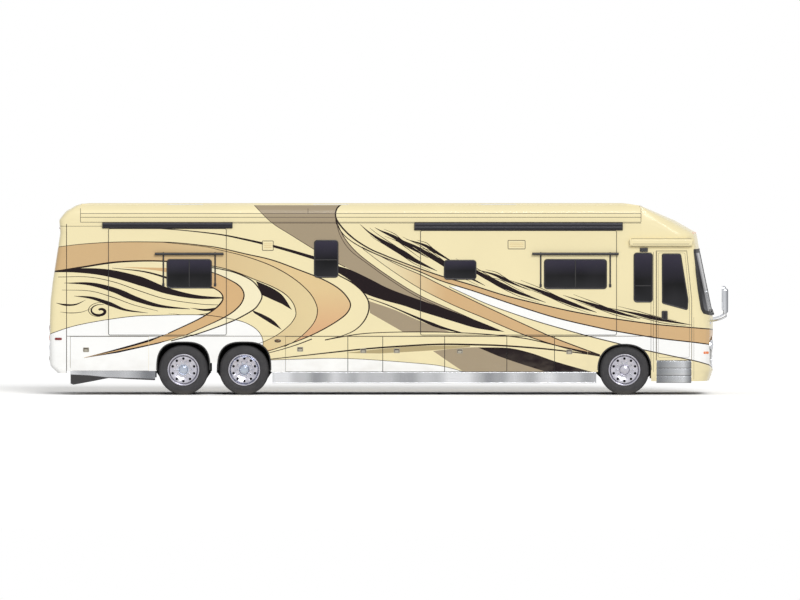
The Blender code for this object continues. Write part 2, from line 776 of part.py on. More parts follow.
# Entry door, its window and its handle. Window columns: fore share, rise share.
DOOR_GLASS_SHARES = (
    (0.4212, 0.7232),
    (0.4240, 0.2830),
    (0.4591, 0.2764),
    (0.7014, 0.2243),
    (0.7090, 0.3119),
    (0.6255, 0.7232),
)
DOOR_GLASS_R = 0.03
HANDLE_SHARES = (0.418, 0.480)
HANDLE_Z = 1.64
HANDLE_H = 0.18
HANDLE_PROUD = 0.02


def door_glass_outline():
    corners = [(at(fore(along)), rise(up), DOOR_GLASS_R) for along, up in DOOR_GLASS_SHARES]
    return fillet(corners)


def build_entry_door():
    hinge = (at(DOOR_FRONT), -HALF, DOOR_LOW)
    door = prism("entry_door", door_outline(DOOR_GAP, HINGE_GAP), "Y", -HALF, -HALF + DOOR_T,
                 CREAM, hinge)
    hole = prism("door_glass_hole", offset(door_glass_outline(), -WINDOW_LAP), "Y",
                 -HALF - OVERRUN, -HALF + DOOR_T + OVERRUN, CREAM)
    cut(door, [hole])
    handle = block("entry_handle", (at(fore(HANDLE_SHARES[0])), -HALF - HANDLE_PROUD,
                                    HANDLE_Z - HANDLE_H / 2),
                   (at(fore(HANDLE_SHARES[1])), -HALF + DOOR_T / 2, HANDLE_Z + HANDLE_H / 2), CREAM)
    join(door, [handle])
    build_window("entry_door_window", door_glass_outline(), -1, HALF, DOOR_T)
    return door


# Slide-outs: boxes open to the cabin, with a flange that laps the wall outside
SLIDE_DEPTH = 0.75
SLIDE_SKIN = 0.045
SLIDE_PROUD = 0.012
FLANGE = 0.02
RUNNER_W = 0.08
RUNNER_SHARES = (0.15, 0.85)
BEDROOM_SHARES = (0.6045, 0.8325, 0.42, 0.6747)
GALLEY_SHARES = (0.5262, 0.6095, 0.4976, 0.6668)
LOUNGE_SHARES = (0.7892, 0.9528, 0.413, 0.6747)
SLIDE_WINDOWS = (
    ("window_bedroom", -1, "rear", aft, BEDROOM_SHARES, True),
    ("window_galley", -1, "front", mid, GALLEY_SHARES, False),
    ("window_lounge", -1, "front", mid, LOUNGE_SHARES, True),
    ("window_salon", 1, "front", mid, LOUNGE_SHARES, True),
)
BAR_LAP = 0.25
BAR_H = 0.05
BAR_RISE = 0.09
BAR_PROUD = 0.07
ARM_W = 0.03
ARM_SET = 0.10


def build_slide(side, name):
    rear, front, top = SLIDES[name]
    word = SIDE_NAMES[side]
    face = HALF + SLIDE_PROUD
    low = SLIDE_LOW
    high = top - FLANGE
    outer = sorted((side * (face - SLIDE_DEPTH), side * face))
    box = block(f"slide_{name}_{word}", (at(rear + FLANGE), outer[0], low),
                (at(front - FLANGE), outer[1], high), WHITE)
    flange_ends = sorted((side * (HALF + SEAT), side * face))
    flange = block(f"flange_{name}_{word}", (at(rear), flange_ends[0], SLIDE_LOW - FLANGE),
                   (at(front), flange_ends[1], top), WHITE)
    runners = []
    for share in RUNNER_SHARES:
        middle = rear + share * (front - rear)
        ends = sorted((side * (face - SLIDE_DEPTH), side * (INNER - SLIDE_GAP)))
        runners.append(block(f"runner_{name}_{word}_{share}",
                             (at(middle - RUNNER_W / 2), ends[0], BELT_HIGH + HINGE_GAP),
                             (at(middle + RUNNER_W / 2), ends[1], low + SLIDE_SKIN / 2), WHITE))
    join(box, [flange] + runners)
    room_ends = sorted((side * (face - SLIDE_SKIN), side * (face - SLIDE_DEPTH - OVERRUN)))
    room = block(f"room_{name}_{word}",
                 (at(rear + FLANGE + SLIDE_SKIN), room_ends[0], low + SLIDE_SKIN),
                 (at(front - FLANGE - SLIDE_SKIN), room_ends[1], high - SLIDE_SKIN), WHITE)
    tools = [room]
    for window, window_side, slide, place, shares, _ in SLIDE_WINDOWS:
        if window_side == side and slide == name:
            outline = window_outline(shares, place, -WINDOW_LAP)
            ends = sorted((side * (face + OVERRUN), side * (face - SLIDE_SKIN - OVERRUN)))
            tools.append(prism(f"{window}_hole", outline, "Y", ends[0], ends[1], WHITE))
    return cut(box, tools)


def window_awning(name, side, rear, front, low, high):
    """A window's rolled awning: a case over the window on two arms beside its lower half."""
    face = HALF + SLIDE_PROUD + WINDOW_PROUD
    ends = sorted((side * (face - WINDOW_PROUD / 2), side * (face + BAR_PROUD)))
    arm_ends = sorted((side * (face - WINDOW_PROUD / 2), side * (face + ARM_W)))
    case_low = high + BAR_RISE
    parts = [block(f"{name}_case", (at(rear - BAR_LAP), ends[0], case_low),
                   (at(front + BAR_LAP), ends[1], case_low + BAR_H), STEEL)]
    for station in (rear + ARM_SET, front - ARM_SET - ARM_W):
        parts.append(block(f"{name}_arm_{station:.2f}", (at(station), arm_ends[0], low + ARM_SET),
                           (at(station + ARM_W), arm_ends[1], case_low + BAR_H / 2), STEEL))
    return parts


def build_slide_windows():
    face = HALF + SLIDE_PROUD
    for name, side, _, place, shares, has_awning in SLIDE_WINDOWS:
        extras = ()
        if has_awning:
            extras = window_awning(name, side, place(shares[0]), place(shares[1]),
                                   rise(shares[2]), rise(shares[3]))
        build_window(name, window_outline(shares, place, 0), side, face, SLIDE_SKIN, extras)


# Slide awning cases over the slides, and the entry door's own awning on the wall
CASE_LAP = 0.13
CASE_D = 0.05
CASE_TOP = 3.556
CASE_GAP = 0.006
DOOR_CASE_SHARES = (0.057, 0.760)
DOOR_CASE_LOW = 3.067
DOOR_CASE_HIGH = 3.214
DOOR_CASE_D = 0.09


def build_awning_cases():
    for name in wall_slides(-1):
        rear, front, top = SLIDES[name]
        block(f"awning_{name}", (at(rear - CASE_LAP), -HALF - CASE_D, top + CASE_GAP),
              (at(front + CASE_LAP), -HALF - SEAT, CASE_TOP), BLACK)


def door_awning():
    """Profile in (y, z) of the door awning's rounded case."""
    outline = [(-HALF + WALL_T / 2, DOOR_CASE_LOW, 0), (-HALF + WALL_T / 2, DOOR_CASE_HIGH, 0),
               (-HALF - DOOR_CASE_D, DOOR_CASE_HIGH, DOOR_CASE_D / 2),
               (-HALF - DOOR_CASE_D, DOOR_CASE_LOW, DOOR_CASE_D / 2)]
    return prism("door_awning", fillet(outline), "X", at(fore(DOOR_CASE_SHARES[0])),
                 at(fore(DOOR_CASE_SHARES[1])), CREAM)


# Roof: one section in (half width, height) along the body, with three air conditioners.
# Columns of the deck: share of the half width, drop below the roof's height.
ROOF_RIM_SHARE = 0.82
DECK_SHARE = 0.77
DECK_DROP = 0.28
CROWN_DROP = 0.24
RIM_DROP = 0.02
SHOULDER_STEPS = 5
NOSE_WEDGE = 0.345
TAIL_WEDGE = 0.17
AIRCON_STATION_SHARES = (0.19, 0.45, 0.75)
AIRCON_L = 1.0
AIRCON_HALF = 0.36
AIRCON_DROP = 0.02
AIRCON_NOSE = 0.18
VENT_STATION_SHARES = (0.30, 0.60)
VENT_SIZE = 0.42
VENT_DROP = 0.14


def roof_section():
    """Half section of the roof from the eaves over the shoulder and rim to the crown."""
    half = [(HALF, EAVE_Z + SEAT)]
    for step in range(SHOULDER_STEPS + 1):
        height = HEIGHT - SHOULDER_H + SHOULDER_H * math.sin(math.pi / 2 * step / SHOULDER_STEPS)
        half.append((half_width(height), height))
    half.append((ROOF_RIM_SHARE * HALF, HEIGHT - RIM_DROP))
    half.append((DECK_SHARE * HALF, HEIGHT - DECK_DROP))
    return half


def build_roof():
    half = roof_section()
    left = [(y, z) for y, z in half]
    right = [(-y, z) for y, z in half]
    section = right + [(0, HEIGHT - CROWN_DROP)] + left[::-1]
    rear = REAR_CAP_TOP_SEAM
    front = FRONT_CAP_TOP_SEAM
    roof = prism("roof", section, "X", at(rear), at(front), WHITE)
    extras = []
    deck = HEIGHT - DECK_DROP - OVERRUN / 2
    for share in AIRCON_STATION_SHARES:
        middle = at(rear + share * (front - rear))
        outline = [(middle - AIRCON_L / 2, deck), (middle + AIRCON_L / 2, deck),
                   (middle + AIRCON_L / 2, HEIGHT - CROWN_DROP + AIRCON_DROP),
                   (middle + AIRCON_L / 2 - AIRCON_NOSE, HEIGHT - AIRCON_DROP),
                   (middle - AIRCON_L / 2 + AIRCON_NOSE / 2, HEIGHT - AIRCON_DROP)]
        extras.append(prism(f"aircon_{share}", outline, "Y", -AIRCON_HALF, AIRCON_HALF, WHITE))
    for share in VENT_STATION_SHARES:
        middle = at(rear + share * (front - rear))
        reach = VENT_SIZE / 2
        extras.append(block(f"vent_{share}", (middle - reach, -reach, deck),
                            (middle + reach, reach, HEIGHT - VENT_DROP), WHITE))
    join(roof, extras)
    nose_drop = HEIGHT - profile_top(NOSE_SHARES, CHIN_Z)
    tail_drop = HEIGHT - profile_top(TAIL_SHARES, SILL_Z)
    nose = [(at(front - NOSE_WEDGE), HEIGHT), (at(front + OVERRUN), HEIGHT + OVERRUN),
            (at(front + OVERRUN), HEIGHT - nose_drop * (1 + OVERRUN / NOSE_WEDGE))]
    tail = [(at(rear + TAIL_WEDGE), HEIGHT), (at(rear - OVERRUN), HEIGHT + OVERRUN),
            (at(rear - OVERRUN), HEIGHT - tail_drop * (1 + OVERRUN / TAIL_WEDGE))]
    wedges = [prism("nose_wedge", nose, "Y", -WIDTH, WIDTH, WHITE),
              prism("tail_wedge", tail, "Y", -WIDTH, WIDTH, WHITE)]
    return cut(roof, wedges)


# Floor with the entry stair. Stair columns: step depths from the cabin out to the door.
FLOOR_REAR = 0.42
FLOOR_FRONT_SET = 0.026
FLOOR_FRONT = FRONT_SEAM - FLOOR_FRONT_SET
STAIR_SET = 0.015
STAIR_INNER_Y = 0.55
TREAD_D = 0.23
TREAD_T = 0.03
TREAD_LOW = 0.72
TREAD_HIGH = 0.98


def build_floor():
    edge = INNER - SEAT
    stair_rear = DOOR_REAR + STAIR_SET
    stair_front = DOOR_FRONT - STAIR_SET
    outline = [
        (at(FLOOR_REAR), -edge),
        (at(stair_rear), -edge),
        (at(stair_rear), -STAIR_INNER_Y),
        (at(stair_front), -STAIR_INNER_Y),
        (at(stair_front), -edge),
        (at(FLOOR_FRONT), -edge),
        (at(FLOOR_FRONT), edge),
        (at(FLOOR_REAR), edge),
    ]
    floor = prism("floor", outline, "Z", FLOOR_LOW, BELT_HIGH, LINING)
    first = -STAIR_INNER_Y - TREAD_D
    second = first - TREAD_D
    stair = [
        (-STAIR_INNER_Y + TREAD_T, FLOOR_LOW + TREAD_T),
        (-STAIR_INNER_Y + TREAD_T, TREAD_HIGH - TREAD_T),
        (first + TREAD_T, TREAD_HIGH - TREAD_T),
        (first + TREAD_T, TREAD_LOW - TREAD_T),
        (-edge, TREAD_LOW - TREAD_T),
        (-edge, TREAD_LOW),
        (first, TREAD_LOW),
        (first, TREAD_HIGH),
        (-STAIR_INNER_Y, TREAD_HIGH),
        (-STAIR_INNER_Y, FLOOR_LOW + TREAD_T),
    ]
    steps = prism("stair", stair, "X", at(stair_rear), at(stair_front), LINING)
    ends = []
    for station, reach in ((stair_rear, -TREAD_T), (stair_front, TREAD_T)):
        xs = sorted((at(station), at(station + reach)))
        ends.append(block(f"stair_end_{station:.2f}", (xs[0], -edge, TREAD_LOW - TREAD_T),
                          (xs[1], -STAIR_INNER_Y + TREAD_T, FLOOR_LOW + TREAD_T), LINING))
    return join(floor, [steps] + ends)


# Basement: a pan under the bays, with bulkheads that hang it from the rails
PAN_LOW = 0.4746
PAN_T = 0.025
BULKHEAD_T = 0.03
PAN_REAR_SET = 0.13
PAN_FRONT_SET = 0.075
RAIL_SET = 0.295
RAIL_Y = TWIN_Y - RAIL_SET
RAIL_W = 0.08
RAIL_LOW = 0.93
RAIL_HIGH = FLOOR_LOW - SEAT
RAIL_CLEAR = 0.01
STRIP_TOP = PAN_LOW - SEAT


def build_basement():
    edge = INNER - SEAT
    rear = DRIVE_STATION + ARCH_HALF + PAN_REAR_SET
    front = FRONT_STATION - ARCH_HALF - PAN_FRONT_SET
    pan = block("basement", (at(rear), -edge, PAN_LOW), (at(front), edge, PAN_LOW + PAN_T), BLACK)
    outer = RAIL_Y + RAIL_W / 2 + RAIL_CLEAR
    bulkhead = [
        (-edge, PAN_LOW), (edge, PAN_LOW), (edge, RAIL_HIGH), (outer, RAIL_HIGH),
        (outer, RAIL_LOW - SEAT), (-outer, RAIL_LOW - SEAT), (-outer, RAIL_HIGH), (-edge, RAIL_HIGH),
    ]
    extras = []
    inner_seams = BAY_SEAMS[1:-1]
    middles = [rear + BULKHEAD_T / 2] + inner_seams + [front - BULKHEAD_T / 2]
    for number, station in enumerate(middles):
        extras.append(prism(f"bulkhead_{number}", bulkhead, "X", at(station - BULKHEAD_T / 2),
                            at(station + BULKHEAD_T / 2), BLACK))
    fin = [
        (-edge + WALL_T, BAY_DOOR_LOW + PAN_T), (-HALF, BAY_DOOR_LOW + PAN_T),
        (-HALF, BELT_LOW - SEAT), (-INNER - SEAT, BELT_LOW - SEAT),
        (-INNER - SEAT, RAIL_HIGH), (-edge + WALL_T, RAIL_HIGH),
    ]
    for number, station in enumerate(inner_seams):
        extras.append(prism(f"fin_{number}", fin, "X", at(station - FIN_W / 2),
                            at(station + FIN_W / 2), BLACK))
    return join(pan, extras)


# Chassis frame and engine
RAIL_REAR = 0.45
RAIL_FRONT_SET = 0.60
RAIL_FRONT = LENGTH - RAIL_FRONT_SET
CROSS_W = 0.08
CROSS_SET = 0.02
CROSS_SHARES = (0.004, 0.145, 0.34, 0.50, 0.66, 0.84, 0.985)
ENGINE_REAR = 0.75
ENGINE_L = 1.30
ENGINE_CLEAR = 0.04
ENGINE_HALF = RAIL_Y - RAIL_W / 2 - ENGINE_CLEAR
ENGINE_LOW = 0.50
ENGINE_HIGH = 1.12
MOUNT_L = 0.12


def build_chassis():
    inner = RAIL_Y - RAIL_W / 2
    outer = RAIL_Y + RAIL_W / 2
    rails = [block(f"rail_{side}", (at(RAIL_REAR), min(side * inner, side * outer), RAIL_LOW),
                   (at(RAIL_FRONT), max(side * inner, side * outer), RAIL_HIGH), BLACK)
             for side in (-1, 1)]
    crosses = []
    for share in CROSS_SHARES:
        station = RAIL_REAR + share * (RAIL_FRONT - RAIL_REAR)
        crosses.append(block(f"cross_{share}", (at(station), -RAIL_Y, RAIL_LOW + CROSS_SET),
                             (at(station + CROSS_W), RAIL_Y, RAIL_HIGH - CROSS_SET), BLACK))
    frame = rails[0]
    frame.name = "chassis_frame"
    return join(frame, [rails[1]] + crosses)


def build_engine():
    engine = block("engine", (at(ENGINE_REAR), -ENGINE_HALF, ENGINE_LOW),
                   (at(ENGINE_REAR + ENGINE_L), ENGINE_HALF, ENGINE_HIGH), CASTING)
    reach = RAIL_Y - RAIL_W / 2 - SEAT
    middle = ENGINE_REAR + ENGINE_L / 2
    mount = block("engine_mounts", (at(middle - MOUNT_L / 2), -reach, RAIL_LOW + CROSS_SET),
                  (at(middle + MOUNT_L / 2), reach, RAIL_HIGH - CROSS_SET), CASTING)
    return join(engine, [mount])


# Axles, knuckles and wheels
KINGPIN_SET = 0.12
KINGPIN_Y = TYRE_Y - KINGPIN_SET
BEAM_H = 0.10
BEAM_W = 0.12
BEAM_DROP = 0.065
BOSS_R = 0.05
BOSS_H = 0.23
SPINDLE_R = 0.045
EAR_T = 0.05
EAR_R = 0.055
WEB_T = 0.04
DRIVE_TUBE_R = 0.09
DRIVE_SPINDLE_R = 0.06
TAG_TUBE_R = 0.07
DIFF_R = 0.21
DIFF_HALF = 0.16
SPRING_R = 0.08
SPRING_FOOT = 0.05
SPRING_SPREAD = 0.34
HUB_REACH = 0.065
DISC_REACH = 0.025
HUB_END = TYRE_Y + HUB_REACH
DISC_Y = TYRE_Y + DISC_REACH


def axle_beam(name, centre_x, y_reach, radius, look):
    return drum(name, "Y", (centre_x, TYRE_R), radius, -y_reach, y_reach, look)


def air_springs(name, centre_x, spread, low):
    """Trailing arms with an air spring at each end, up to the rails."""
    parts = []
    for side in (-1, 1):
        y = side * RAIL_Y
        reach = spread + SPRING_R if spread else SPRING_R
        parts.append(block(f"{name}_arm_{side}", (centre_x - reach, y - SPRING_R / 2, low),
                           (centre_x + reach, y + SPRING_R / 2, low + SPRING_FOOT), BLACK))
        for end in ((-1, 1) if spread else (0,)):
            parts.append(drum(f"{name}_spring_{side}_{end}", "Z", (centre_x + end * spread, y),
                              SPRING_R, low + SPRING_FOOT / 2, RAIL_LOW - SEAT, BLACK))
    return parts


def build_front_axle():
    x = at(FRONT_STATION)
    low = TYRE_R - BEAM_DROP - BEAM_H / 2
    high = low + BEAM_H
    beam = block("front_axle", (x - BEAM_W / 2, -KINGPIN_Y, low), (x + BEAM_W / 2, KINGPIN_Y, high),
                 BLACK)
    bosses = [drum(f"boss_{side}", "Z", (x, side * KINGPIN_Y), BOSS_R, TYRE_R - BOSS_H / 2,
                   TYRE_R + BOSS_H / 2, BLACK) for side in (-1, 1)]
    return join(beam, bosses + air_springs("front", x, 0, high - SPRING_FOOT / 2))


def build_knuckle(side):
    x = at(FRONT_STATION)
    word = SIDE_NAMES[side]
    kingpin = side * KINGPIN_Y
    top = TYRE_R + BOSS_H / 2 + HINGE_GAP
    bottom = TYRE_R - BOSS_H / 2 - HINGE_GAP
    upper = drum(f"knuckle_{word}", "Z", (x, kingpin), EAR_R, top, top + EAR_T, CASTING)
    lower = drum(f"ear_{word}", "Z", (x, kingpin), EAR_R, bottom - EAR_T, bottom, CASTING)
    web_start = KINGPIN_Y + BOSS_R + SPRING_FOOT / 5
    web_ends = sorted((side * web_start, side * (web_start + WEB_T)))
    web = block(f"web_{word}", (x - EAR_R, web_ends[0], bottom - EAR_T),
                (x + EAR_R, web_ends[1], top + EAR_T), CASTING)
    necks = []
    for level in (top, bottom - EAR_T):
        ends = sorted((kingpin, side * web_start + side * WEB_T / 2))
        necks.append(block(f"neck_{word}_{level:.2f}", (x - EAR_R, ends[0], level),
                           (x + EAR_R, ends[1], level + EAR_T), CASTING))
    spindle_ends = sorted((side * (web_start + WEB_T / 2), side * HUB_END))
    spindle = drum(f"spindle_{word}", "Y", (x, TYRE_R), SPINDLE_R, spindle_ends[0],
                   spindle_ends[1], CASTING)
    join(upper, [lower, web, spindle] + necks)
    pivot = Vector((x, kingpin, TYRE_R))
    upper.data.transform(Matrix.Translation(-pivot))
    upper.location = pivot
    return upper


def build_drive_axle():
    x = at(DRIVE_STATION)
    axle = axle_beam("drive_axle", x, TWIN_Y - TYRE_W / 2 + TYRE_W / 6, DRIVE_TUBE_R, BLACK)
    extras = [
        axle_beam("drive_spindles", x, HUB_END, DRIVE_SPINDLE_R, BLACK),
        drum("differential", "Y", (x, TYRE_R), DIFF_R, -DIFF_HALF, DIFF_HALF, BLACK),
    ]
    return join(axle, extras + air_springs("drive", x, SPRING_SPREAD, TYRE_R + DRIVE_TUBE_R / 2))


def build_tag_axle():
    x = at(TAG_STATION)
    axle = axle_beam("tag_axle", x, TYRE_Y - TYRE_W / 2, TAG_TUBE_R, BLACK)
    extras = [axle_beam("tag_spindles", x, HUB_END, SPINDLE_R, BLACK)]
    return join(axle, extras + air_springs("tag", x, SPRING_SPREAD / 2, TYRE_R + TAG_TUBE_R / 2))


# Tyre sections: radius as a share of the tyre's height over the rim, half width as a share.
TREAD_SHARES = ((0.0, 0.80), (0.14, 0.80), (0.5, 1.0), (0.92, 0.92), (1.0, 0.74))
FLANGE_R = 0.325
FLANGE_T = 0.012
BARREL_R = 0.27
HUB_R = 0.13
CAP_R = 0.085
HUB_CAP_SET = 0.09
HUB_CAP_Y = HALF - HUB_CAP_SET
DISC_T = 0.03
DISC_SET = 0.05
TWIN_DISH_SET = 0.145
TWIN_DISH_Y = TYRE_Y - TWIN_DISH_SET
HAND_HOLES = 10
HAND_HOLE_R = 0.028
HAND_HOLE_STEPS = 6


def tyre_half():
    """Points (radius, distance from the middle) from the bead out to the tread."""
    rise_r = TYRE_R - RIM_R
    return [(RIM_R + up * rise_r, wide * TYRE_W / 2) for up, wide in TREAD_SHARES]


def build_tyre(name, station, side):
    half = tyre_half()
    outer = [(radius, TYRE_Y + across) for radius, across in half]
    inner = [(radius, TYRE_Y - across) for radius, across in half]
    return turned(name, outer + inner[::-1], (at(station), TYRE_R), side, RUBBER)


def hand_holes(name, station, inner, outer):
    """Cutters for the round holes about a wheel's disc, each in the middle of a facet."""
    ring_r = (HUB_R + BARREL_R) / 2
    first = math.pi / WHEEL_STEPS
    ends = sorted((inner, outer))
    tools = []
    for i in range(HAND_HOLES):
        angle = first + math.tau * i / HAND_HOLES
        centre = (at(station) + ring_r * math.cos(angle), TYRE_R + ring_r * math.sin(angle))
        tools.append(drum(f"{name}_hole_{i}", "Y", centre, HAND_HOLE_R, ends[0], ends[1], CHROME,
                          HAND_HOLE_STEPS))
    return tools


def build_rim(name, station, side):
    """A disc wheel: barrel between two flanges, a dished disc and a domed hub."""
    bead = TREAD_SHARES[0][1] * TYRE_W / 2 + SEAT
    bore = SPINDLE_R + SPIN_GAP
    end = HUB_END + SPIN_GAP
    outer = TYRE_Y + bead
    inner = TYRE_Y - bead
    profile = [
        (bore, DISC_Y - DISC_T), (bore, end), (0, end), (0, HUB_CAP_Y),
        (CAP_R, HUB_CAP_Y - DISC_T / 2), (HUB_R, DISC_Y + DISC_SET), (BARREL_R, DISC_Y + DISC_SET),
        (BARREL_R, outer + FLANGE_T), (FLANGE_R, outer + FLANGE_T), (FLANGE_R, outer),
        (RIM_R - SEAT, outer), (RIM_R - SEAT, inner), (FLANGE_R, inner),
        (FLANGE_R, inner - FLANGE_T), (BARREL_R, inner - FLANGE_T),
        (BARREL_R, DISC_Y + DISC_SET - DISC_T), (HUB_R, DISC_Y - DISC_T),
    ]
    rim = turned(name, profile, (at(station), TYRE_R), side, CHROME)
    return cut(rim, hand_holes(name, station, side * (DISC_Y - OVERRUN), side * HALF))


def build_twins(name, station, side):
    """Two tyres on back-to-back discs, turned as one body, with a deep outer dish."""
    half = tyre_half()[1:]
    bore = DRIVE_SPINDLE_R + SPIN_GAP
    end = HUB_END + SPIN_GAP
    inner_end = TWIN_Y - TREAD_SHARES[0][1] * TYRE_W / 2
    profile = [
        (bore, inner_end + DISC_T), (bore, end), (0, end), (0, HUB_CAP_Y),
        (CAP_R, HUB_CAP_Y - DISC_T / 2), (HUB_R, TWIN_DISH_Y), (BARREL_R, TWIN_DISH_Y),
    ]
    for middle in (TYRE_Y, TWIN_Y):
        profile.extend((radius, middle + across) for radius, across in half)
        profile.extend((radius, middle - across) for radius, across in half[::-1])
    profile += [(BARREL_R, inner_end), (BARREL_R, TWIN_DISH_Y - TYRE_W / 2),
                (HUB_R, TWIN_DISH_Y - TYRE_W / 2), (HUB_R, inner_end + DISC_T)]
    twins = turned(name, profile, (at(station), TYRE_R), side, RUBBER)
    return cut(twins, hand_holes(name, station, side * (TWIN_DISH_Y - TYRE_W), side * HALF))


def build_wheels():
    for side in (-1, 1):
        word = SIDE_NAMES[side]
        build_tyre(f"tyre_front_{word}", FRONT_STATION, side)
        build_rim(f"rim_front_{word}", FRONT_STATION, side)
        build_tyre(f"tyre_tag_{word}", TAG_STATION, side)
        build_rim(f"rim_tag_{word}", TAG_STATION, side)
        build_twins(f"twin_wheels_{word}", DRIVE_STATION, side)


# Lower trim: stainless strips, rear skirts and the panel under the entry door
STRIP_LOW = 0.241
STRIP_T = 0.04
STRIP_SET = 0.03
LIP_T = 0.025
LIP_W = 0.20
# Rear skirt columns: share of the way from the rear door's edge to the arch, height share
SKIRT_SHARES = ((0.0, 0.08), (0.035, 0.0), (0.45, 0.48), (1.0, 0.33), (1.0, 1.0), (0.0, 1.0))
SKIRT_LOW = 0.206
SKIRT_ARCH_SET = 0.03
STEP_LOW = 0.247
STEP_D = 0.25
STEP_BANDS = 3
STEP_BULGE = 0.012


def build_strip(side):
    rear = at(DRIVE_STATION + ARCH_HALF + STRIP_SET)
    front = at(FRONT_STATION - ARCH_HALF - STRIP_SET)
    ends = sorted((side * (HALF - STRIP_T), side * HALF))
    strip = block(f"trim_{SIDE_NAMES[side]}", (rear, ends[0], STRIP_LOW), (front, ends[1], STRIP_TOP),
                  STEEL)
    lip_ends = sorted((side * (HALF - STRIP_T - LIP_W), side * (HALF - STRIP_T / 2)))
    lip_rear = at(DRIVE_STATION + ARCH_HALF + PAN_REAR_SET)
    lip_front = at(FRONT_STATION - ARCH_HALF - PAN_FRONT_SET)
    lip = block(f"lip_{side}", (lip_rear, lip_ends[0], STRIP_TOP - LIP_T),
                (lip_front, lip_ends[1], STRIP_TOP), STEEL)
    return join(strip, [lip])


def build_skirt(side):
    start = aft(REAR_DOOR_SHARES[0]) - DOOR_GAP
    span = TAG_STATION - ARCH_HALF - SKIRT_ARCH_SET - start
    rise_span = SKIRT_TOP - SKIRT_LOW
    outline = [(at(start + along * span), SKIRT_LOW + up * rise_span)
               for along, up in SKIRT_SHARES]
    ends = sorted((side * (HALF - STRIP_T), side * HALF))
    return prism(f"rear_skirt_{SIDE_NAMES[side]}", outline, "Y", ends[0], ends[1], STEEL)


def build_step_panel():
    """The stainless panel under the entry door, in three bulged bands."""
    pitch = (DOOR_LOW - DOOR_RISE_GAP - STEP_LOW) / STEP_BANDS
    face = -HALF + STEP_BULGE
    outline = [(face + STEP_D, STEP_LOW), (face, STEP_LOW)]
    for band in range(STEP_BANDS):
        low = STEP_LOW + band * pitch
        outline += [(face - STEP_BULGE, low + pitch / 4), (face - STEP_BULGE, low + pitch * 3 / 4),
                    (face, low + pitch)]
    outline += [(-INNER - SEAT, DOOR_LOW - DOOR_RISE_GAP), (-INNER - SEAT, TREAD_LOW - TREAD_T - SEAT),
                (face + STEP_D, TREAD_LOW - TREAD_T - SEAT)]
    return prism("entry_step", outline, "X", at(DOOR_REAR + SEAT), at(DOOR_FRONT - SEAT), STEEL)


# Mirrors: an arm from the front corner carries the head ahead of the nose
MIRROR_HEAD_T = 0.085
MIRROR_HEAD_W = 0.25
MIRROR_HEAD_H = 0.515
MIRROR_HEAD_LOW = 1.685
MIRROR_HEAD_SET = 0.095
MIRROR_ARM_R = 0.028
MIRROR_FOOT_Z = 1.51
MIRROR_FOOT_INSET = 0.315
MIRROR_FOOT_SET = 0.18
MIRROR_ELBOW_Z = 1.635
MIRROR_STEPS = 10


def rod(name, start, end, radius, look, steps=MIRROR_STEPS):
    """A straight round bar between two points."""
    axis = Vector(end) - Vector(start)
    turn = axis.to_track_quat("Z", "Y")
    rings = []
    for point in (Vector(start), Vector(end)):
        ring = []
        for i in range(steps):
            angle = math.tau * i / steps
            ring.append(point + turn @ Vector((radius * math.cos(angle), radius * math.sin(angle), 0)))
        rings.append(ring)
    return loft(name, rings, look)


def build_mirror(side):
    word = SIDE_NAMES[side]
    front = at(LENGTH + MIRROR_REACH)
    rear = front - MIRROR_HEAD_T
    inner = HALF - MIRROR_HEAD_SET
    ys = sorted((side * inner, side * (inner + MIRROR_HEAD_W)))
    outline = rounded_box((ys[0], MIRROR_HEAD_LOW), (ys[1], MIRROR_HEAD_LOW + MIRROR_HEAD_H),
                          MIRROR_HEAD_T / 2)
    head = prism(f"mirror_{word}", outline, "X", rear, front, CHROME)
    middle = (front + rear) / 2
    elbow_y = side * (inner + MIRROR_HEAD_W / 3)
    elbow = (middle, elbow_y, MIRROR_ELBOW_Z)
    foot = (at(LENGTH - MIRROR_FOOT_SET), side * (HALF - MIRROR_FOOT_INSET), MIRROR_FOOT_Z)
    arm = rod(f"mirror_arm_{word}", foot, elbow, MIRROR_ARM_R, CHROME)
    neck = drum(f"mirror_neck_{word}", "Z", (middle, elbow_y), MIRROR_ARM_R,
                MIRROR_ELBOW_Z - MIRROR_ARM_R, MIRROR_HEAD_LOW + MIRROR_ARM_R, CHROME, MIRROR_STEPS)
    join(head, [arm, neck])
    hull = front_shell(f"mirror_trim_{word}", -SEAT, BELT_LOW, rise(DOOR_TOP_SHARE),
                       FRONT_CAP_TOP_SEAM, CHROME)
    return cut(head, [hull])


# Cockpit: a plinth with two seats, the dash and the steering column
PLINTH_T = 0.02
SEAT_W = 0.52
SEAT_Y = 0.66
COPILOT_SEAT_SET = 1.75
DRIVER_SEAT_SET = 1.35
SEAT_L = 0.50
SEAT_H = 0.46
CUSHION_T = 0.14
BACK_H = 0.80
BACK_T = 0.14
BACK_LEAN = 0.12
PEDESTAL_L = 0.30
DASH_DEPTH = 0.34
DASH_H = 0.62
DASH_SET = 0.30
DASH_RIGHT_Y = 0.40
DASH_LEFT_Y = 1.05
WHEEL_R = 0.21
WHEEL_T = 0.03
COLUMN_R = 0.03
COLUMN_RISE = 0.16


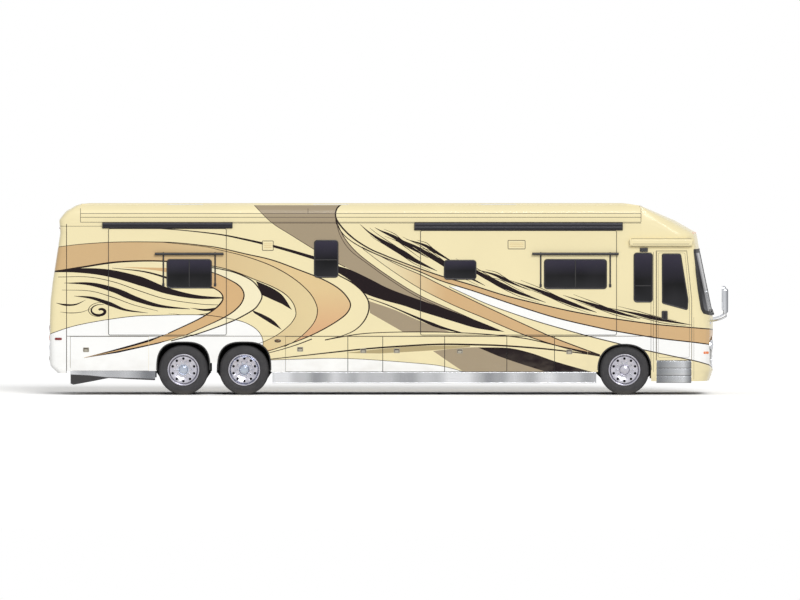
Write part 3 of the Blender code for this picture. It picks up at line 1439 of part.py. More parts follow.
def seat_outline(station):
    """Side view of a seat on its pedestal, facing forward."""
    x = at(station)
    floor = BELT_HIGH + PLINTH_T
    seat_top = BELT_HIGH + SEAT_H
    middle = x + (SEAT_L - PEDESTAL_L) / 2
    return [
        (middle, floor - PLINTH_T / 2), (middle + PEDESTAL_L, floor - PLINTH_T / 2),
        (middle + PEDESTAL_L, seat_top - CUSHION_T), (x + SEAT_L, seat_top - CUSHION_T),
        (x + SEAT_L, seat_top), (x + BACK_T, seat_top),
        (x + BACK_T - BACK_LEAN, seat_top + BACK_H), (x - BACK_LEAN, seat_top + BACK_H),
        (x, seat_top - CUSHION_T), (middle, seat_top - CUSHION_T),
    ]


def build_cockpit():
    low = BELT_HIGH + SEAT
    dash_front = FRONT_SEAM
    dash_rear = dash_front - DASH_DEPTH
    right = -SEAT_Y - SEAT_W / 2
    left = SEAT_Y + SEAT_W / 2
    outline = [
        (at(LENGTH - COPILOT_SEAT_SET), right), (at(DOOR_REAR - TREAD_T - SEAT), right),
        (at(DOOR_REAR - TREAD_T - SEAT), -DASH_RIGHT_Y), (at(dash_front), -DASH_RIGHT_Y),
        (at(dash_front), left), (at(LENGTH - COPILOT_SEAT_SET), left),
    ]
    plinth = prism("cockpit", outline, "Z", low, low + PLINTH_T, LINING)
    extras = []
    for station, side in ((LENGTH - COPILOT_SEAT_SET, -1), (LENGTH - DRIVER_SEAT_SET, 1)):
        ys = sorted((side * (SEAT_Y - SEAT_W / 2), side * (SEAT_Y + SEAT_W / 2)))
        extras.append(prism(f"seat_{side}", seat_outline(station), "Y", ys[0], ys[1], LEATHER))
    top = BELT_HIGH + DASH_H
    dash = [(at(dash_front), low), (at(dash_front), top - CUSHION_T), (at(dash_rear + DASH_SET), top),
            (at(dash_rear + CUSHION_T), top), (at(dash_rear), top - CUSHION_T),
            (at(dash_rear + CUSHION_T), low)]
    extras.append(prism("dash", dash, "Y", -DASH_RIGHT_Y, DASH_LEFT_Y, LINING))
    hub = (at(dash_rear - COLUMN_RISE), SEAT_Y, top + COLUMN_RISE / 2)
    foot = (at(dash_rear + CUSHION_T), SEAT_Y, top - CUSHION_T)
    axis = (Vector(hub) - Vector(foot)).normalized()
    extras.append(rod("steering_column", foot, hub, COLUMN_R, BLACK))
    extras.append(rod("steering_wheel", hub, Vector(hub) + axis * WHEEL_T, WHEEL_R, BLACK,
                      WHEEL_STEPS))
    return join(plinth, extras)


def build_all():
    build_front_cap()
    build_windshield()
    build_fascia()
    build_rear_cap()
    build_engine_door()
    build_wall(1)
    join(build_wall(-1), [door_awning()])
    build_wall_windows()
    build_bay_doors()
    build_entry_door()
    for side in (-1, 1):
        for name in wall_slides(side):
            build_slide(side, name)
        build_knuckle(side)
        build_strip(side)
        build_skirt(side)
        build_mirror(side)
    build_slide_windows()
    build_awning_cases()
    build_roof()
    build_floor()
    build_basement()
    build_chassis()
    build_engine()
    build_front_axle()
    build_drive_axle()
    build_tag_axle()
    build_wheels()
    build_step_panel()
    build_cockpit()


build_all()
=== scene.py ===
"""Motorhome: the looks of a bus-type coach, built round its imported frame. Metres, +X forward, +Z up."""
import math

import bpy
import numpy as np
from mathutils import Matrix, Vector
from mathutils.geometry import delaunay_2d_cdt


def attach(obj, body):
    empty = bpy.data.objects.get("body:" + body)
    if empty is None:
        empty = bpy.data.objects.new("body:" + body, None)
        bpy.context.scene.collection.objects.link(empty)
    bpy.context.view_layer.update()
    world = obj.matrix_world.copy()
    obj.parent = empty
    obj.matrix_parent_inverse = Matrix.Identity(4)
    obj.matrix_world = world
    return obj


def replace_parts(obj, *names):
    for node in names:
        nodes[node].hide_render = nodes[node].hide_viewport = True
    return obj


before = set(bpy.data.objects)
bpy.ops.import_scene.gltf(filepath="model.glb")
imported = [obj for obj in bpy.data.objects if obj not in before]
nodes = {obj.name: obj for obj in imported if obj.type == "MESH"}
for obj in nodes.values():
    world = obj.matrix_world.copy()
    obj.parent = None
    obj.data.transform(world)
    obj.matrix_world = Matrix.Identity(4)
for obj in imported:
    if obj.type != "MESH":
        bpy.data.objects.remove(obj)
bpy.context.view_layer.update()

# Camera: square on to the coach's right side from far off, at the height of its roof, so that the
# shaded floor shows under the body and the roof's top doesn't.
SQUARE = 0.0206
REAR_COLUMN = 49
GROUND_ROW = 395
REAR_X = -6.995
VIEW_SIZE = (800, 600)
VIEW_DISTANCE = 400.0
VIEW_TILT = math.radians(1.1)
NEAR_SIDE = -1.295

view_x = REAR_X + (VIEW_SIZE[0] / 2 - REAR_COLUMN) * SQUARE
view_z = (GROUND_ROW - VIEW_SIZE[1] / 2) * SQUARE
camera_data = bpy.data.cameras.new("side_camera")
camera_data.lens = camera_data.sensor_width * VIEW_DISTANCE / (VIEW_SIZE[0] * SQUARE)
camera_data.clip_end = 1200
camera = bpy.data.objects.new("side_camera", camera_data)
camera.location = (view_x, NEAR_SIDE - VIEW_DISTANCE * math.cos(VIEW_TILT),
                   view_z + VIEW_DISTANCE * math.sin(VIEW_TILT))
camera.rotation_euler = (math.pi / 2 - VIEW_TILT, 0, 0)
bpy.context.scene.collection.objects.link(camera)
bpy.context.scene.camera = camera
bpy.context.scene.view_settings.view_transform = "Standard"

# Light: a white room that fills the shadows, and one broad lamp ahead of the right side. What the
# camera or a mirror sees of the room is pure white.
SKY_STRENGTH = 0.50
KEY_STRENGTH = 1.70
KEY_HEIGHT = math.radians(32)
KEY_TURN = math.radians(14)
KEY_SPREAD = math.radians(24)


def add_node(tree, kind, **settings):
    """A shader node with its own settings."""
    made = tree.nodes.new(kind)
    for key, value in settings.items():
        setattr(made, key, value)
    return made


def seen_or_mirrored(tree):
    """One for rays from the camera, off mirrors and through glass, and nought for all others."""
    ray = add_node(tree, "ShaderNodeLightPath")
    share = ray.outputs["Is Camera Ray"]
    for kind in ("Is Glossy Ray", "Is Transmission Ray"):
        most = add_node(tree, "ShaderNodeMath", operation="MAXIMUM")
        tree.links.new(share, most.inputs[0])
        tree.links.new(ray.outputs[kind], most.inputs[1])
        share = most.outputs[0]
    return share


room = bpy.data.worlds.new("white_room")
bpy.context.scene.world = room
room.use_nodes = True
sky = room.node_tree
background = sky.nodes["Background"]
background.inputs["Color"].default_value = (1, 1, 1, 1)
strength = add_node(sky, "ShaderNodeMath", operation="MULTIPLY_ADD")
strength.inputs[1].default_value = 1 - SKY_STRENGTH
strength.inputs[2].default_value = SKY_STRENGTH
sky.links.new(seen_or_mirrored(sky), strength.inputs[0])
sky.links.new(strength.outputs[0], background.inputs["Strength"])

key_data = bpy.data.lights.new("key", "SUN")
key_data.energy = KEY_STRENGTH
key_data.angle = KEY_SPREAD
key = bpy.data.objects.new("key", key_data)
key_from = Vector((math.sin(KEY_TURN) * math.cos(KEY_HEIGHT),
                   -math.cos(KEY_TURN) * math.cos(KEY_HEIGHT), math.sin(KEY_HEIGHT)))
key.rotation_mode = "QUATERNION"
key.rotation_quaternion = key_from.to_track_quat("Z", "Y")
bpy.context.scene.collection.objects.link(key)

# Floor: one plain pale sheet under the whole scene. It is written a little brighter for the
# camera, so that it stays white where nothing shades it.
FLOOR_REACH = 90.0
FLOOR_GREY = 0.86
FLOOR_SEEN = 1.34


def put(name, points, faces, materials, face_looks=None):
    """A smooth mesh at the origin from an array of points and faces of equal or mixed length."""
    mesh = bpy.data.meshes.new(name)
    mesh.from_pydata(np.asarray(points, float).tolist(), [], [list(map(int, f)) for f in faces])
    for look in materials:
        mesh.materials.append(look)
    if face_looks is not None:
        mesh.polygons.foreach_set("material_index", np.asarray(face_looks, np.int32))
    mesh.polygons.foreach_set("use_smooth", np.ones(len(mesh.polygons), bool))
    mesh.update()
    made = bpy.data.objects.new(name, mesh)
    bpy.context.scene.collection.objects.link(made)
    return made


floor_look = bpy.data.materials.new("pale_floor")
floor_look.use_nodes = True
tree = floor_look.node_tree
tree.nodes.clear()
sheet = add_node(tree, "ShaderNodeBsdfDiffuse")
tone = add_node(tree, "ShaderNodeMapRange")
tone.inputs["To Min"].default_value = FLOOR_GREY
tone.inputs["To Max"].default_value = FLOOR_SEEN
tree.links.new(seen_or_mirrored(tree), tone.inputs["Value"])
tree.links.new(tone.outputs["Result"], sheet.inputs["Color"])
tree.links.new(sheet.outputs["BSDF"], add_node(tree, "ShaderNodeOutputMaterial").inputs["Surface"])
corners = [(x * FLOOR_REACH, y * FLOOR_REACH, 0) for x, y in ((-1, -1), (1, -1), (1, 1), (-1, 1))]
put("floor", corners, [(0, 1, 2, 3)], [floor_look])

# Paint: two-layer lacquer over gel coat, in the colours of the stripes, some of which fade into the
# next. It has a faint orange peel, slow changes of tone and road dust low down.
DUST = (0.42, 0.36, 0.28)
PEEL = (260.0, 1.0)
PEEL_DEPTH = (0.0004, 0.12)


def linear(code):
    """A colour written as six hex digits, as linear red, green and blue."""
    shares = [int(code[i:i + 2], 16) / 255 for i in (0, 2, 4)]
    return tuple(c / 12.92 if c <= 0.04045 else ((c + 0.055) / 1.055) ** 2.4 for c in shares)


def shader(name, roughness, metallic=0.0, coat=0.0, gloss=0.5, ior=1.5):
    """A material with a Principled shader, and its tree."""
    made = bpy.data.materials.new(name)
    made.use_nodes = True
    tree = made.node_tree
    body = tree.nodes["Principled BSDF"]
    body.inputs["Roughness"].default_value = roughness
    body.inputs["Metallic"].default_value = metallic
    body.inputs["Coat Weight"].default_value = coat
    body.inputs["Coat Roughness"].default_value = 0.06
    body.inputs["Specular IOR Level"].default_value = gloss
    body.inputs["IOR"].default_value = ior
    return made, tree, body


def object_place(tree):
    """Object coordinates, which stay with a piece as it moves."""
    return add_node(tree, "ShaderNodeTexCoord").outputs["Object"]


def noise_at(tree, scale, detail=3.0, stretch=(1, 1, 1)):
    """Noise over Object coordinates, drawn out along an axis by its stretch."""
    turn = add_node(tree, "ShaderNodeMapping")
    turn.inputs["Scale"].default_value = stretch
    made = add_node(tree, "ShaderNodeTexNoise")
    made.inputs["Scale"].default_value = scale
    made.inputs["Detail"].default_value = detail
    tree.links.new(object_place(tree), turn.inputs["Vector"])
    tree.links.new(turn.outputs["Vector"], made.inputs["Vector"])
    return made


def blend_colours(tree, share, first, second):
    """A colour between two by a share; either may be a colour or another node's output."""
    mix = add_node(tree, "ShaderNodeMix", data_type="RGBA")
    tree.links.new(share, mix.inputs["Factor"])
    for socket, colour in (("A", first), ("B", second)):
        target = [s for s in mix.inputs if s.name == socket and s.type == "RGBA"][0]
        if isinstance(colour, tuple):
            target.default_value = (*colour, 1)
        else:
            tree.links.new(colour, target)
    return [s for s in mix.outputs if s.type == "RGBA"][0]


def ramp(tree, source, low, high):
    """A share from 0 to 1 as the source goes from low to high."""
    made = add_node(tree, "ShaderNodeMapRange")
    made.inputs["From Min"].default_value = low
    made.inputs["From Max"].default_value = high
    tree.links.new(source, made.inputs["Value"])
    return made.outputs["Result"]


def axis_share(tree, axis, low, high):
    """A share from 0 to 1 along an axis of Object coordinates."""
    parts = add_node(tree, "ShaderNodeSeparateXYZ")
    tree.links.new(object_place(tree), parts.inputs[0])
    return ramp(tree, parts.outputs[axis], low, high)


def dress(tree, body, tone, relief, depth, strength):
    """Joins a tone to a shader, and raises its surface by a texture of that depth in metres."""
    tree.links.new(tone, body.inputs["Base Color"])
    made = add_node(tree, "ShaderNodeBump")
    made.inputs["Distance"].default_value = depth
    made.inputs["Strength"].default_value = strength
    tree.links.new(relief.outputs["Fac"], made.inputs["Height"])
    tree.links.new(made.outputs["Normal"], body.inputs["Normal"])


def shade(colour, factor):
    """A colour made darker or lighter by a factor."""
    return tuple(min(1.0, c * factor) for c in colour)


def lacquer(name, colour, coat=0.15, gloss=0.25):
    """A paint of one colour: its tone drifts, and dust lies on its lowest half metre."""
    made, tree, body = shader(name, 0.32, coat=coat, gloss=gloss)
    slow = noise_at(tree, 0.7, 2.0)
    tone = blend_colours(tree, slow.outputs["Fac"], shade(colour, 0.95), shade(colour, 1.04))
    grime = noise_at(tree, 3.0, 6.0, (1, 1, 2))
    dirt = add_node(tree, "ShaderNodeMath", operation="MULTIPLY")
    tree.links.new(ramp(tree, grime.outputs["Fac"], 0.35, 1.6), dirt.inputs[0])
    tree.links.new(axis_share(tree, "Z", 0.95, 0.25), dirt.inputs[1])
    dress(tree, body, blend_colours(tree, dirt.outputs[0], tone, DUST), noise_at(tree, *PEEL), *PEEL_DEPTH)
    return made


def fade(name, first, second, axis, low, high):
    """A lacquer that goes from one colour to another along an axis."""
    made, tree, body = shader(name, 0.32, coat=0.15, gloss=0.25)
    tone = blend_colours(tree, axis_share(tree, axis, low, high), first, second)
    slow = noise_at(tree, 0.8, 2.0)
    dusty = blend_colours(tree, ramp(tree, slow.outputs["Fac"], 0.0, 6.0), tone, DUST)
    dress(tree, body, dusty, noise_at(tree, *PEEL), *PEEL_DEPTH)
    return made


PAINTS = {
    "cream": linear("F0E3B6"),
    "pale": linear("F4EAC6"),
    "white": linear("FAFAF8"),
    "tan": linear("D5B07E"),
    "sand": linear("DDC48F"),
    "taupe": linear("A39379"),
    "olive": linear("B3A277"),
    "umber": linear("1B1013"),
    "line": linear("241714"),
}
DARK_PAINTS = ("umber", "line")
looks = {name: lacquer(f"{name}_paint", colour, *((0.08, 0.10) if name in DARK_PAINTS else ()))
         for name, colour in PAINTS.items()}
looks["sand_fade"] = fade("sand_to_cream_paint", linear("D3B17F"), linear("E6D29F"), "X", -5.2, -1.4)
looks["tip_fade"] = fade("tan_tip_paint", linear("DDAE80"), linear("E4C892"), "Z", 1.35, 2.2)
looks["band_fade"] = fade("cream_to_tan_paint", PAINTS["cream"], PAINTS["tan"], "X", -0.1, 1.2)
LOOK_ORDER = list(looks)

# Stripes: taped and sprayed over the cream on both sides. They are laid out on squares of 20.6 mm,
# in columns from 49 at the rear bumper and in rows down to 395 at the ground, and each outline
# runs smoothly through its few marks.
STEPS_PER_MARK = 10
LINE_WEIGHT = 1.3


def square(marks):
    """Stations from the rear bumper and heights, in metres, of marks given as (column, row)."""
    grid = np.asarray(marks, float)
    return np.stack([(grid[:, 0] - REAR_COLUMN) * SQUARE, (GROUND_ROW - grid[:, 1]) * SQUARE], 1)


def smooth_line(marks):
    """A Catmull-Rom curve through the marks: on each span a cubic whose slope at a mark is half the
    step between its two neighbours."""
    p = square(marks)
    p = np.vstack([2 * p[0] - p[1], p, 2 * p[-1] - p[-2]])
    t = np.linspace(0, 1, STEPS_PER_MARK, endpoint=False)[:, None]
    a, b, c, d = p[:-3], p[1:-2], p[2:-1], p[3:]
    spans = [0.5 * (2 * b[i] + (c[i] - a[i]) * t + (2 * a[i] - 5 * b[i] + 4 * c[i] - d[i]) * t ** 2
                    + (3 * b[i] - a[i] - 3 * c[i] + d[i]) * t ** 3) for i in range(len(b))]
    return np.vstack(spans + [p[-2:-1]])


def area(*lines):
    """A closed outline that follows each line of marks in turn."""
    return np.vstack([smooth_line(marks) if len(marks) > 2 else square(marks) for marks in lines])


def stroke(marks, *widths):
    """A painted line along the marks; its widths in squares are spread evenly along it."""
    middle = smooth_line(marks)
    along = np.linspace(0, 1, len(middle))
    half = np.interp(along, np.linspace(0, 1, len(widths)), widths) * LINE_WEIGHT * SQUARE / 2
    run = np.gradient(middle, axis=0)
    run /= np.linalg.norm(run, axis=1)[:, None] + 1e-9
    across = np.stack([-run[:, 1], run[:, 0]], 1) * half[:, None]
    return np.vstack([middle + across, (middle - across)[::-1]])


TAN_TOP = [(-20, 252), (20, 250), (57, 247), (83, 244), (118, 242), (158, 242), (179, 243), (203, 245.5),
           (220, 248), (246, 254), (272, 260), (298, 269.5), (322, 279), (338, 288), (347, 297),
           (350.5, 305), (347, 313), (338, 320.5), (322, 330), (305, 338), (285, 345.5), (268, 351),
           (250, 355)]
TAN_TIP = [(160, 242), (203, 246.5), (220, 250), (246, 256.5), (272, 266), (293, 278), (309, 292),
           (316.5, 305), (317, 315), (313, 324), (305, 333), (295, 341), (284, 347)]
TAN_LOW = [(-20, 275), (20, 274), (53, 271.5), (83, 267), (118, 262), (160, 261), (200, 264.5),
           (220, 267.5), (236, 272), (256, 280), (272, 286.5), (285, 294), (293, 303), (296, 313),
           (293.5, 320), (288, 326.5), (277, 335), (263, 342), (250, 346)]
WHITE_REAR = [(-20, 345), (20, 341), (49, 334), (67, 328), (83, 324), (105, 320), (131, 316.5),
              (151, 315.5), (203, 315), (236, 320), (250, 325), (259, 332), (263, 341), (262, 350)]
RING = [(150, 262), (190, 264), (220, 269), (236, 273), (251, 280), (259, 288.5), (262, 296),
        (259, 303.5), (253, 310), (236, 319.5), (220, 326), (197, 334), (171, 341)]
LENS_OUT = [(172, 268), (190, 267), (214, 273), (230, 280), (240, 286.5), (244, 294.5), (241.5, 303),
            (234, 311), (222, 318.5), (206, 326), (186, 335), (158, 342.5), (118, 351), (84, 358)]
LENS_IN = [(84, 357.6), (131, 345), (168, 333.5), (197, 320), (212, 311), (220, 304), (223, 298),
           (220, 292), (210, 286), (190, 279), (160, 271), (120, 267)]
LINE_A = [(343.3, 203), (337.1, 208.4), (335.6, 216), (338.7, 223), (346.3, 232), (357, 241),
          (370.8, 249.3), (383, 254.6), (398.4, 260.8), (420.6, 269), (444.3, 277), (470, 284.5),
          (505, 295.5), (537, 303.5), (570, 311), (600, 316.5), (630, 321), (657, 324.5), (691, 327.5),
          (720, 329.5), (780, 331)]
LINE_A_LOW = [(335.6, 216), (337, 225), (346, 237), (360, 246.5), (375.4, 253.8), (398.4, 263.2),
              (420.6, 272), (439, 280), (459, 286.5), (478, 292.5), (518, 306), (557, 318), (600, 328),
              (618, 331.5), (657, 338), (691, 342), (720, 345), (780, 347)]
WHITE_LOW = [(449, 286.5), (465, 294), (491, 305.5), (531, 319.5), (563, 329), (588, 336), (612, 342),
             (649, 351), (691, 360), (720, 366), (780, 371)]
TAN_TWO_TOP = [(362, 247), (380, 256), (400, 266), (421, 275), (439, 284), (468, 298), (491, 309),
               (531, 327.5), (552, 337), (578, 347), (600, 355)]
TAN_TWO_LOW = [(600, 355.5), (575, 350.5), (545, 342), (518, 332.5), (484, 318), (452, 304.5), (421, 289),
               (400, 276), (380, 262), (363, 249)]
TAUPE_LEFT = [(251, 202), (271, 222), (291, 235), (311, 247.5), (330, 259), (345, 267)]
BLADE_TOP = [(338, 266), (351, 270), (370, 279), (390, 289), (420, 300), (452, 311), (478, 321),
             (505, 332)]
TAUPE_RIGHT = [(505, 332), (478, 321.5), (450, 309), (420, 295.5), (395, 280.5), (370, 263), (355, 250.5),
               (344, 237), (337, 222), (335.8, 214), (338, 207), (342, 202)]
BLADE_LOW = [(505, 332), (478, 328.5), (452, 321), (421, 311.5), (403, 305.5), (383, 300), (365, 293.5),
             (357, 286), (348, 279), (337, 272)]
HAIRPIN = [(330, 270), (340, 276), (351, 282), (361, 290), (367.5, 299), (369, 307), (367.5, 314.5),
           (363, 322.5), (355, 330), (343, 335.5), (325, 340)]
WHITE_SKIRT = [(255, 361), (272, 360), (304, 359), (331, 358.3), (364, 359.3), (420, 363.5), (444, 366.5),
               (466, 372.5)]
LOW_LINE = [(325, 340), (337, 337.7), (360, 334), (383, 332.5), (420, 331.8), (450, 332.4), (487, 334.3),
            (524, 338.3), (561, 346.5), (600, 355)]
DARK_LINE = [(262, 360), (272, 359), (304, 355.5), (331, 352.5), (364, 349), (400, 346.3), (439, 344.3),
             (478, 344.8), (505, 345.8), (544, 348.8), (580, 353), (602, 356.5)]
def upright(column, top, low, width):
    """A thin upright bar in squares."""
    return area([(column, top), (column + width, top)], [(column + width, low), (column, low)])


def level(row, left, right, width):
    """A thin level bar in squares."""
    return area([(left, row), (right, row)], [(right, row + width), (left, row + width)])


def hairline(marks, *widths):
    """A stroke of the line paint."""
    return "line", stroke(marks, *widths)


def dark_stroke(marks, *widths):
    """A stroke of the darkest paint."""
    return "umber", stroke(marks, *widths)


def leaf(root, heading, length, bend, width):
    """A curved leaf: a stroke from its root along a heading in degrees, bowed to one side, thin at
    both ends."""
    run = np.array([math.cos(math.radians(heading)), math.sin(math.radians(heading))])
    across = np.array([-run[1], run[0]])
    root = np.asarray(root, float)
    marks = [root, root + run * length * 0.3 + across * bend * 0.8,
             root + run * length * 0.65 + across * bend, root + run * length]
    return stroke(marks, 0.2, width, width * 0.7, 0.1)


def curl(centre, first, last, start, turn, *widths):
    """A spiral stroke: its radius goes evenly from first to last while its angle goes from start
    through turn, in degrees."""
    a = np.radians(np.linspace(start, start + turn, 14))
    r = np.linspace(first, last, 14)
    return stroke(np.stack([centre[0] + r * np.cos(a), centre[1] + 0.62 * r * np.sin(a)], 1), *widths)


# Ribbons between pairs of hairlines blow along the upper edge of the right bands, large at their
# start and small at their end, and a wave of heavier ones fills the field behind the rear wheels.
BAND_START = 40
band_line = smooth_line(LINE_A)[BAND_START:]
band_columns = band_line[:, 0] / SQUARE + REAR_COLUMN
band_rows = GROUND_ROW - band_line[:, 1] / SQUARE
MARKS_PER_RIBBON = 9


def lifted(columns, lifts):
    """Marks beside the band's upper edge: each column's place on it, moved up along its normal."""
    rows = np.interp(columns, band_columns, band_rows)
    slope = np.interp(columns, band_columns, np.gradient(band_rows, band_columns))
    size = np.sqrt(1 + slope ** 2)
    return np.stack([columns + lifts * slope / size, rows - lifts / size], 1)


def ribbon(first, last, lifts, *widths):
    """A stroke beside the band between two columns, its lifts off the band spread evenly along it."""
    share = np.linspace(0, 1, MARKS_PER_RIBBON)
    lift = np.interp(share, np.linspace(0, 1, len(lifts)), lifts)
    return stroke(lifted(first + (last - first) * share, lift), *widths)


RIBBONS = [
    (350, 436, (15, 13, 10, 6, 3.5), (0.2, 1.6, 3.4, 4.4, 2.4, 0.3)),
    (364, 424, (21, 21, 17, 13), (0.2, 1.8, 3.4, 1.8, 0.2)),
    (384, 484, (21, 19, 14, 8, 3.5), (0.2, 1.8, 3.6, 4.2, 2.2, 0.3)),
    (398, 452, (23, 24, 20, 16), (0.2, 1.4, 2.8, 1.4, 0.2)),
    (440, 545, (18, 15, 10, 6, 3), (0.2, 1.8, 3.4, 3.8, 1.8, 0.3)),
    (470, 528, (16, 17, 14, 11), (0.2, 1.3, 2.6, 1.2, 0.2)),
    (506, 596, (16, 13, 8, 3.5), (0.2, 1.8, 3.4, 2.8, 0.3)),
    (560, 640, (14, 11, 7, 3.5), (0.2, 1.6, 3.2, 2.2, 0.3)),
    (606, 692, (10, 8, 5, 2.5), (0.2, 1.4, 3.0, 1.8, 0.2)),
]
spray = []
for first, last, lifts, widths in RIBBONS:
    for start_in, end_in, gap, weight in ((10, 16, 2.9, 0.5), (14, 6, -3.2, 0.5)):
        beside = [max(1.5, lift + gap) for lift in lifts]
        spray.append(("line", ribbon(first + start_in, last - end_in, beside, 0.2, weight, weight, 0.2)))
    spray.append(("umber", ribbon(first, last, lifts, *widths)))

wave = [
    dark_stroke([(50, 272), (78, 270.5), (108, 273), (140, 281), (168, 291), (198, 297), (232, 298)], 0.3,
                3.4, 5.6, 7.0, 4.8, 2.8, 0.4),
    dark_stroke([(64, 283), (90, 284), (114, 290), (136, 299), (160, 306), (190, 309)], 0.2, 3.0, 4.6, 2.8,
                0.4),
    dark_stroke([(74, 296), (92, 298), (110, 304), (126, 310), (148, 313)], 0.2, 2.0, 3.2, 1.6, 0.2),
    hairline([(58, 277), (88, 277), (114, 282), (140, 291), (166, 299), (200, 304), (222, 305)], 0.4, 0.6,
             0.4),
    hairline([(62, 290), (90, 291), (112, 297), (134, 305), (158, 311)], 0.3, 0.6, 0.3),
    dark_stroke([(112, 268), (146, 272), (178, 281), (206, 287), (232, 288)], 0.3, 1.4, 2.2, 1.0),
    ("umber", curl((100, 311), 11, 2.0, -70, -420, 0.3, 1.6, 2.4, 1.4)),
    ("line", curl((100, 311), 14, 9, -80, -190, 0.3, 0.6, 0.3)),
    ("umber", leaf((232, 305), 176, 42, -3.0, 2.4)),
    ("line", leaf((228, 309), 176, 60, -3.5, 0.6)),
    ("line", leaf((60, 312), -8, 34, 3.0, 0.6)),
    ("umber", leaf((56, 303), -6, 30, 3.5, 1.6)),
]

plan = [
    ("tip_fade", area(TAN_TOP, [(-20, 400)])),
    ("sand_fade", area([(-20, 252), (60, 247)], TAN_TOP[2:6], TAN_TIP[1:], [(-20, 400)])),
    ("cream", area(TAN_LOW, [(250, 400), (-20, 400)])),
    *wave,
    ("white", area(WHITE_REAR, [(262, 400), (-20, 400)])),
    ("pale", area(RING, LENS_OUT[::-1][2:-1])),
    ("tan", area(LENS_OUT, LENS_IN)),
    ("white", area(WHITE_SKIRT, [(466, 400), (255, 400)])),
    ("taupe", area(TAUPE_LEFT, BLADE_TOP[1:], TAUPE_RIGHT)),
    ("umber", area(BLADE_TOP, BLADE_LOW)),
    ("taupe", area([(369, 301), (395, 310), (420, 321), (452, 332.5)], [(404, 332.5), (370, 313)])),
    ("band_fade", area(LINE_A[6:], LINE_A_LOW[::-1][:-4])),
    ("white", area(LINE_A_LOW[8:], WHITE_LOW[::-1])),
    ("band_fade", area(TAN_TWO_TOP, TAN_TWO_LOW)),
    ("taupe", area([(433, 351), (455, 348.5), (478, 347.3), (510, 348)], [(540, 360), (545, 378), (466, 378)],
                   [(463, 371.5), (449, 362)])),
    ("olive", area([(345, 353), (380, 349), (420, 346), (470, 345.5)],
                   [(470, 347), (430, 350.5), (380, 353.5)])),
    ("umber", area([(478, 347.5), (508, 348), (531, 353), (557, 362), (592, 372)],
                   [(560, 378), (546, 372), (518, 363), (498, 356)])),
    hairline(TAN_TOP[2:], 0.4, 0.7, 0.9, 1.0, 0.9, 0.5),
    hairline(TAN_TIP, 0.3, 0.7, 0.7, 0.4),
    hairline(TAN_LOW, 0.8, 1.4, 0.6, 0.7, 0.6, 0.4),
    hairline(RING[1:], 0.7, 1.0, 1.0, 0.8),
    hairline(LENS_OUT[1:11], 0.6, 1.0, 1.0, 0.6),
    ("umber", area([(84, 358), (112, 350.2), (140, 342.3), (168, 333.5)], [(150, 341.5), (125, 348.5)])),
    ("umber", area([(84, 358), (118, 351), (158, 342.5), (186, 335)], [(158, 343.8), (118, 352.8)])),
    hairline(LENS_IN[2:9], 0.8, 1.2, 0.8),
    dark_stroke([(150, 228), (185, 230.5), (220, 234.5), (243, 239), (267, 244.5), (291, 251),
                 (316, 258.5)], 0.4, 1.0, 1.8, 2.6),
    hairline(HAIRPIN, 0.8, 1.1, 1.0, 0.4),
    hairline(LOW_LINE, 0.9, 0.6, 0.7, 0.9),
    hairline(DARK_LINE, 0.5, 0.8, 1.2, 1.3, 1.2, 0.7),
    hairline([(262, 354.5), (278, 350.5), (296, 345), (312, 339)], 0.5, 0.8),
    dark_stroke([(368, 298), (390, 306), (420, 319), (440, 327), (462, 333)], 0.5, 1.0, 2.6, 0.8),
    dark_stroke(LINE_A, 1.0, 1.3, 0.9, 0.9, 0.9, 0.8),
    hairline(LINE_A_LOW, 0.5, 0.8, 0.8, 0.9, 0.9, 0.8),
    hairline(WHITE_LOW, 0.4, 0.7, 0.8, 0.8),
    hairline(TAN_TWO_TOP, 0.4, 0.6, 0.7, 0.9),
    hairline(TAN_TWO_LOW, 0.9, 0.7, 0.5, 0.4),
    hairline(TAUPE_LEFT, 0.4, 0.5),
    hairline(TAUPE_RIGHT[1:], 0.4, 0.6, 0.6, 0.5),
    hairline([(336, 220), (340, 235), (350, 250), (368, 264), (392, 281), (420, 298), (455, 313)], 0.4, 0.5),
    hairline(WHITE_REAR, 0.5, 0.5),
    hairline(WHITE_SKIRT, 0.4, 0.4),
    ("umber", area([(256, 281), (272, 288), (283, 296), (292, 310)], [(282, 304), (262, 295)])),
    ("umber", area([(252, 310), (264, 315), (274, 321), (282, 330)], [(270, 323), (254, 313)])),
    *spray,
    ("line", upright(66.2, 224, 373, 0.7)),
    ("line", upright(650.8, 252, 372, 0.35)),
    ("line", upright(653.2, 252, 372, 0.35)),
    ("line", level(226.0, 55, 102, 0.4)),
    ("line", level(222.9, 232, 641, 0.4)),
]

# Coats: the colour coats over the side panels and the two caps. Each one follows the outer faces of
# its own panel, less than a millimetre proud, so the stripes part where a door or slide-out moves.
COAT_T = 0.0008
FACING = 0.25
SIDE_LOW = 1.2945
SIDE_HIGH = 1.3085
NOSE_ROUND = 0.37
TAIL_ROUND = 0.12
HALF_WIDTH = 1.295
COAT_FACE = HALF_WIDTH + COAT_T
TRIM_FACE = HALF_WIDTH + 0.0009
LEAN_FROM = 3.66
LEAN_RISE = 0.26
LEAN = 0.165
SIDES = ((-1, "right"), (1, "left"))


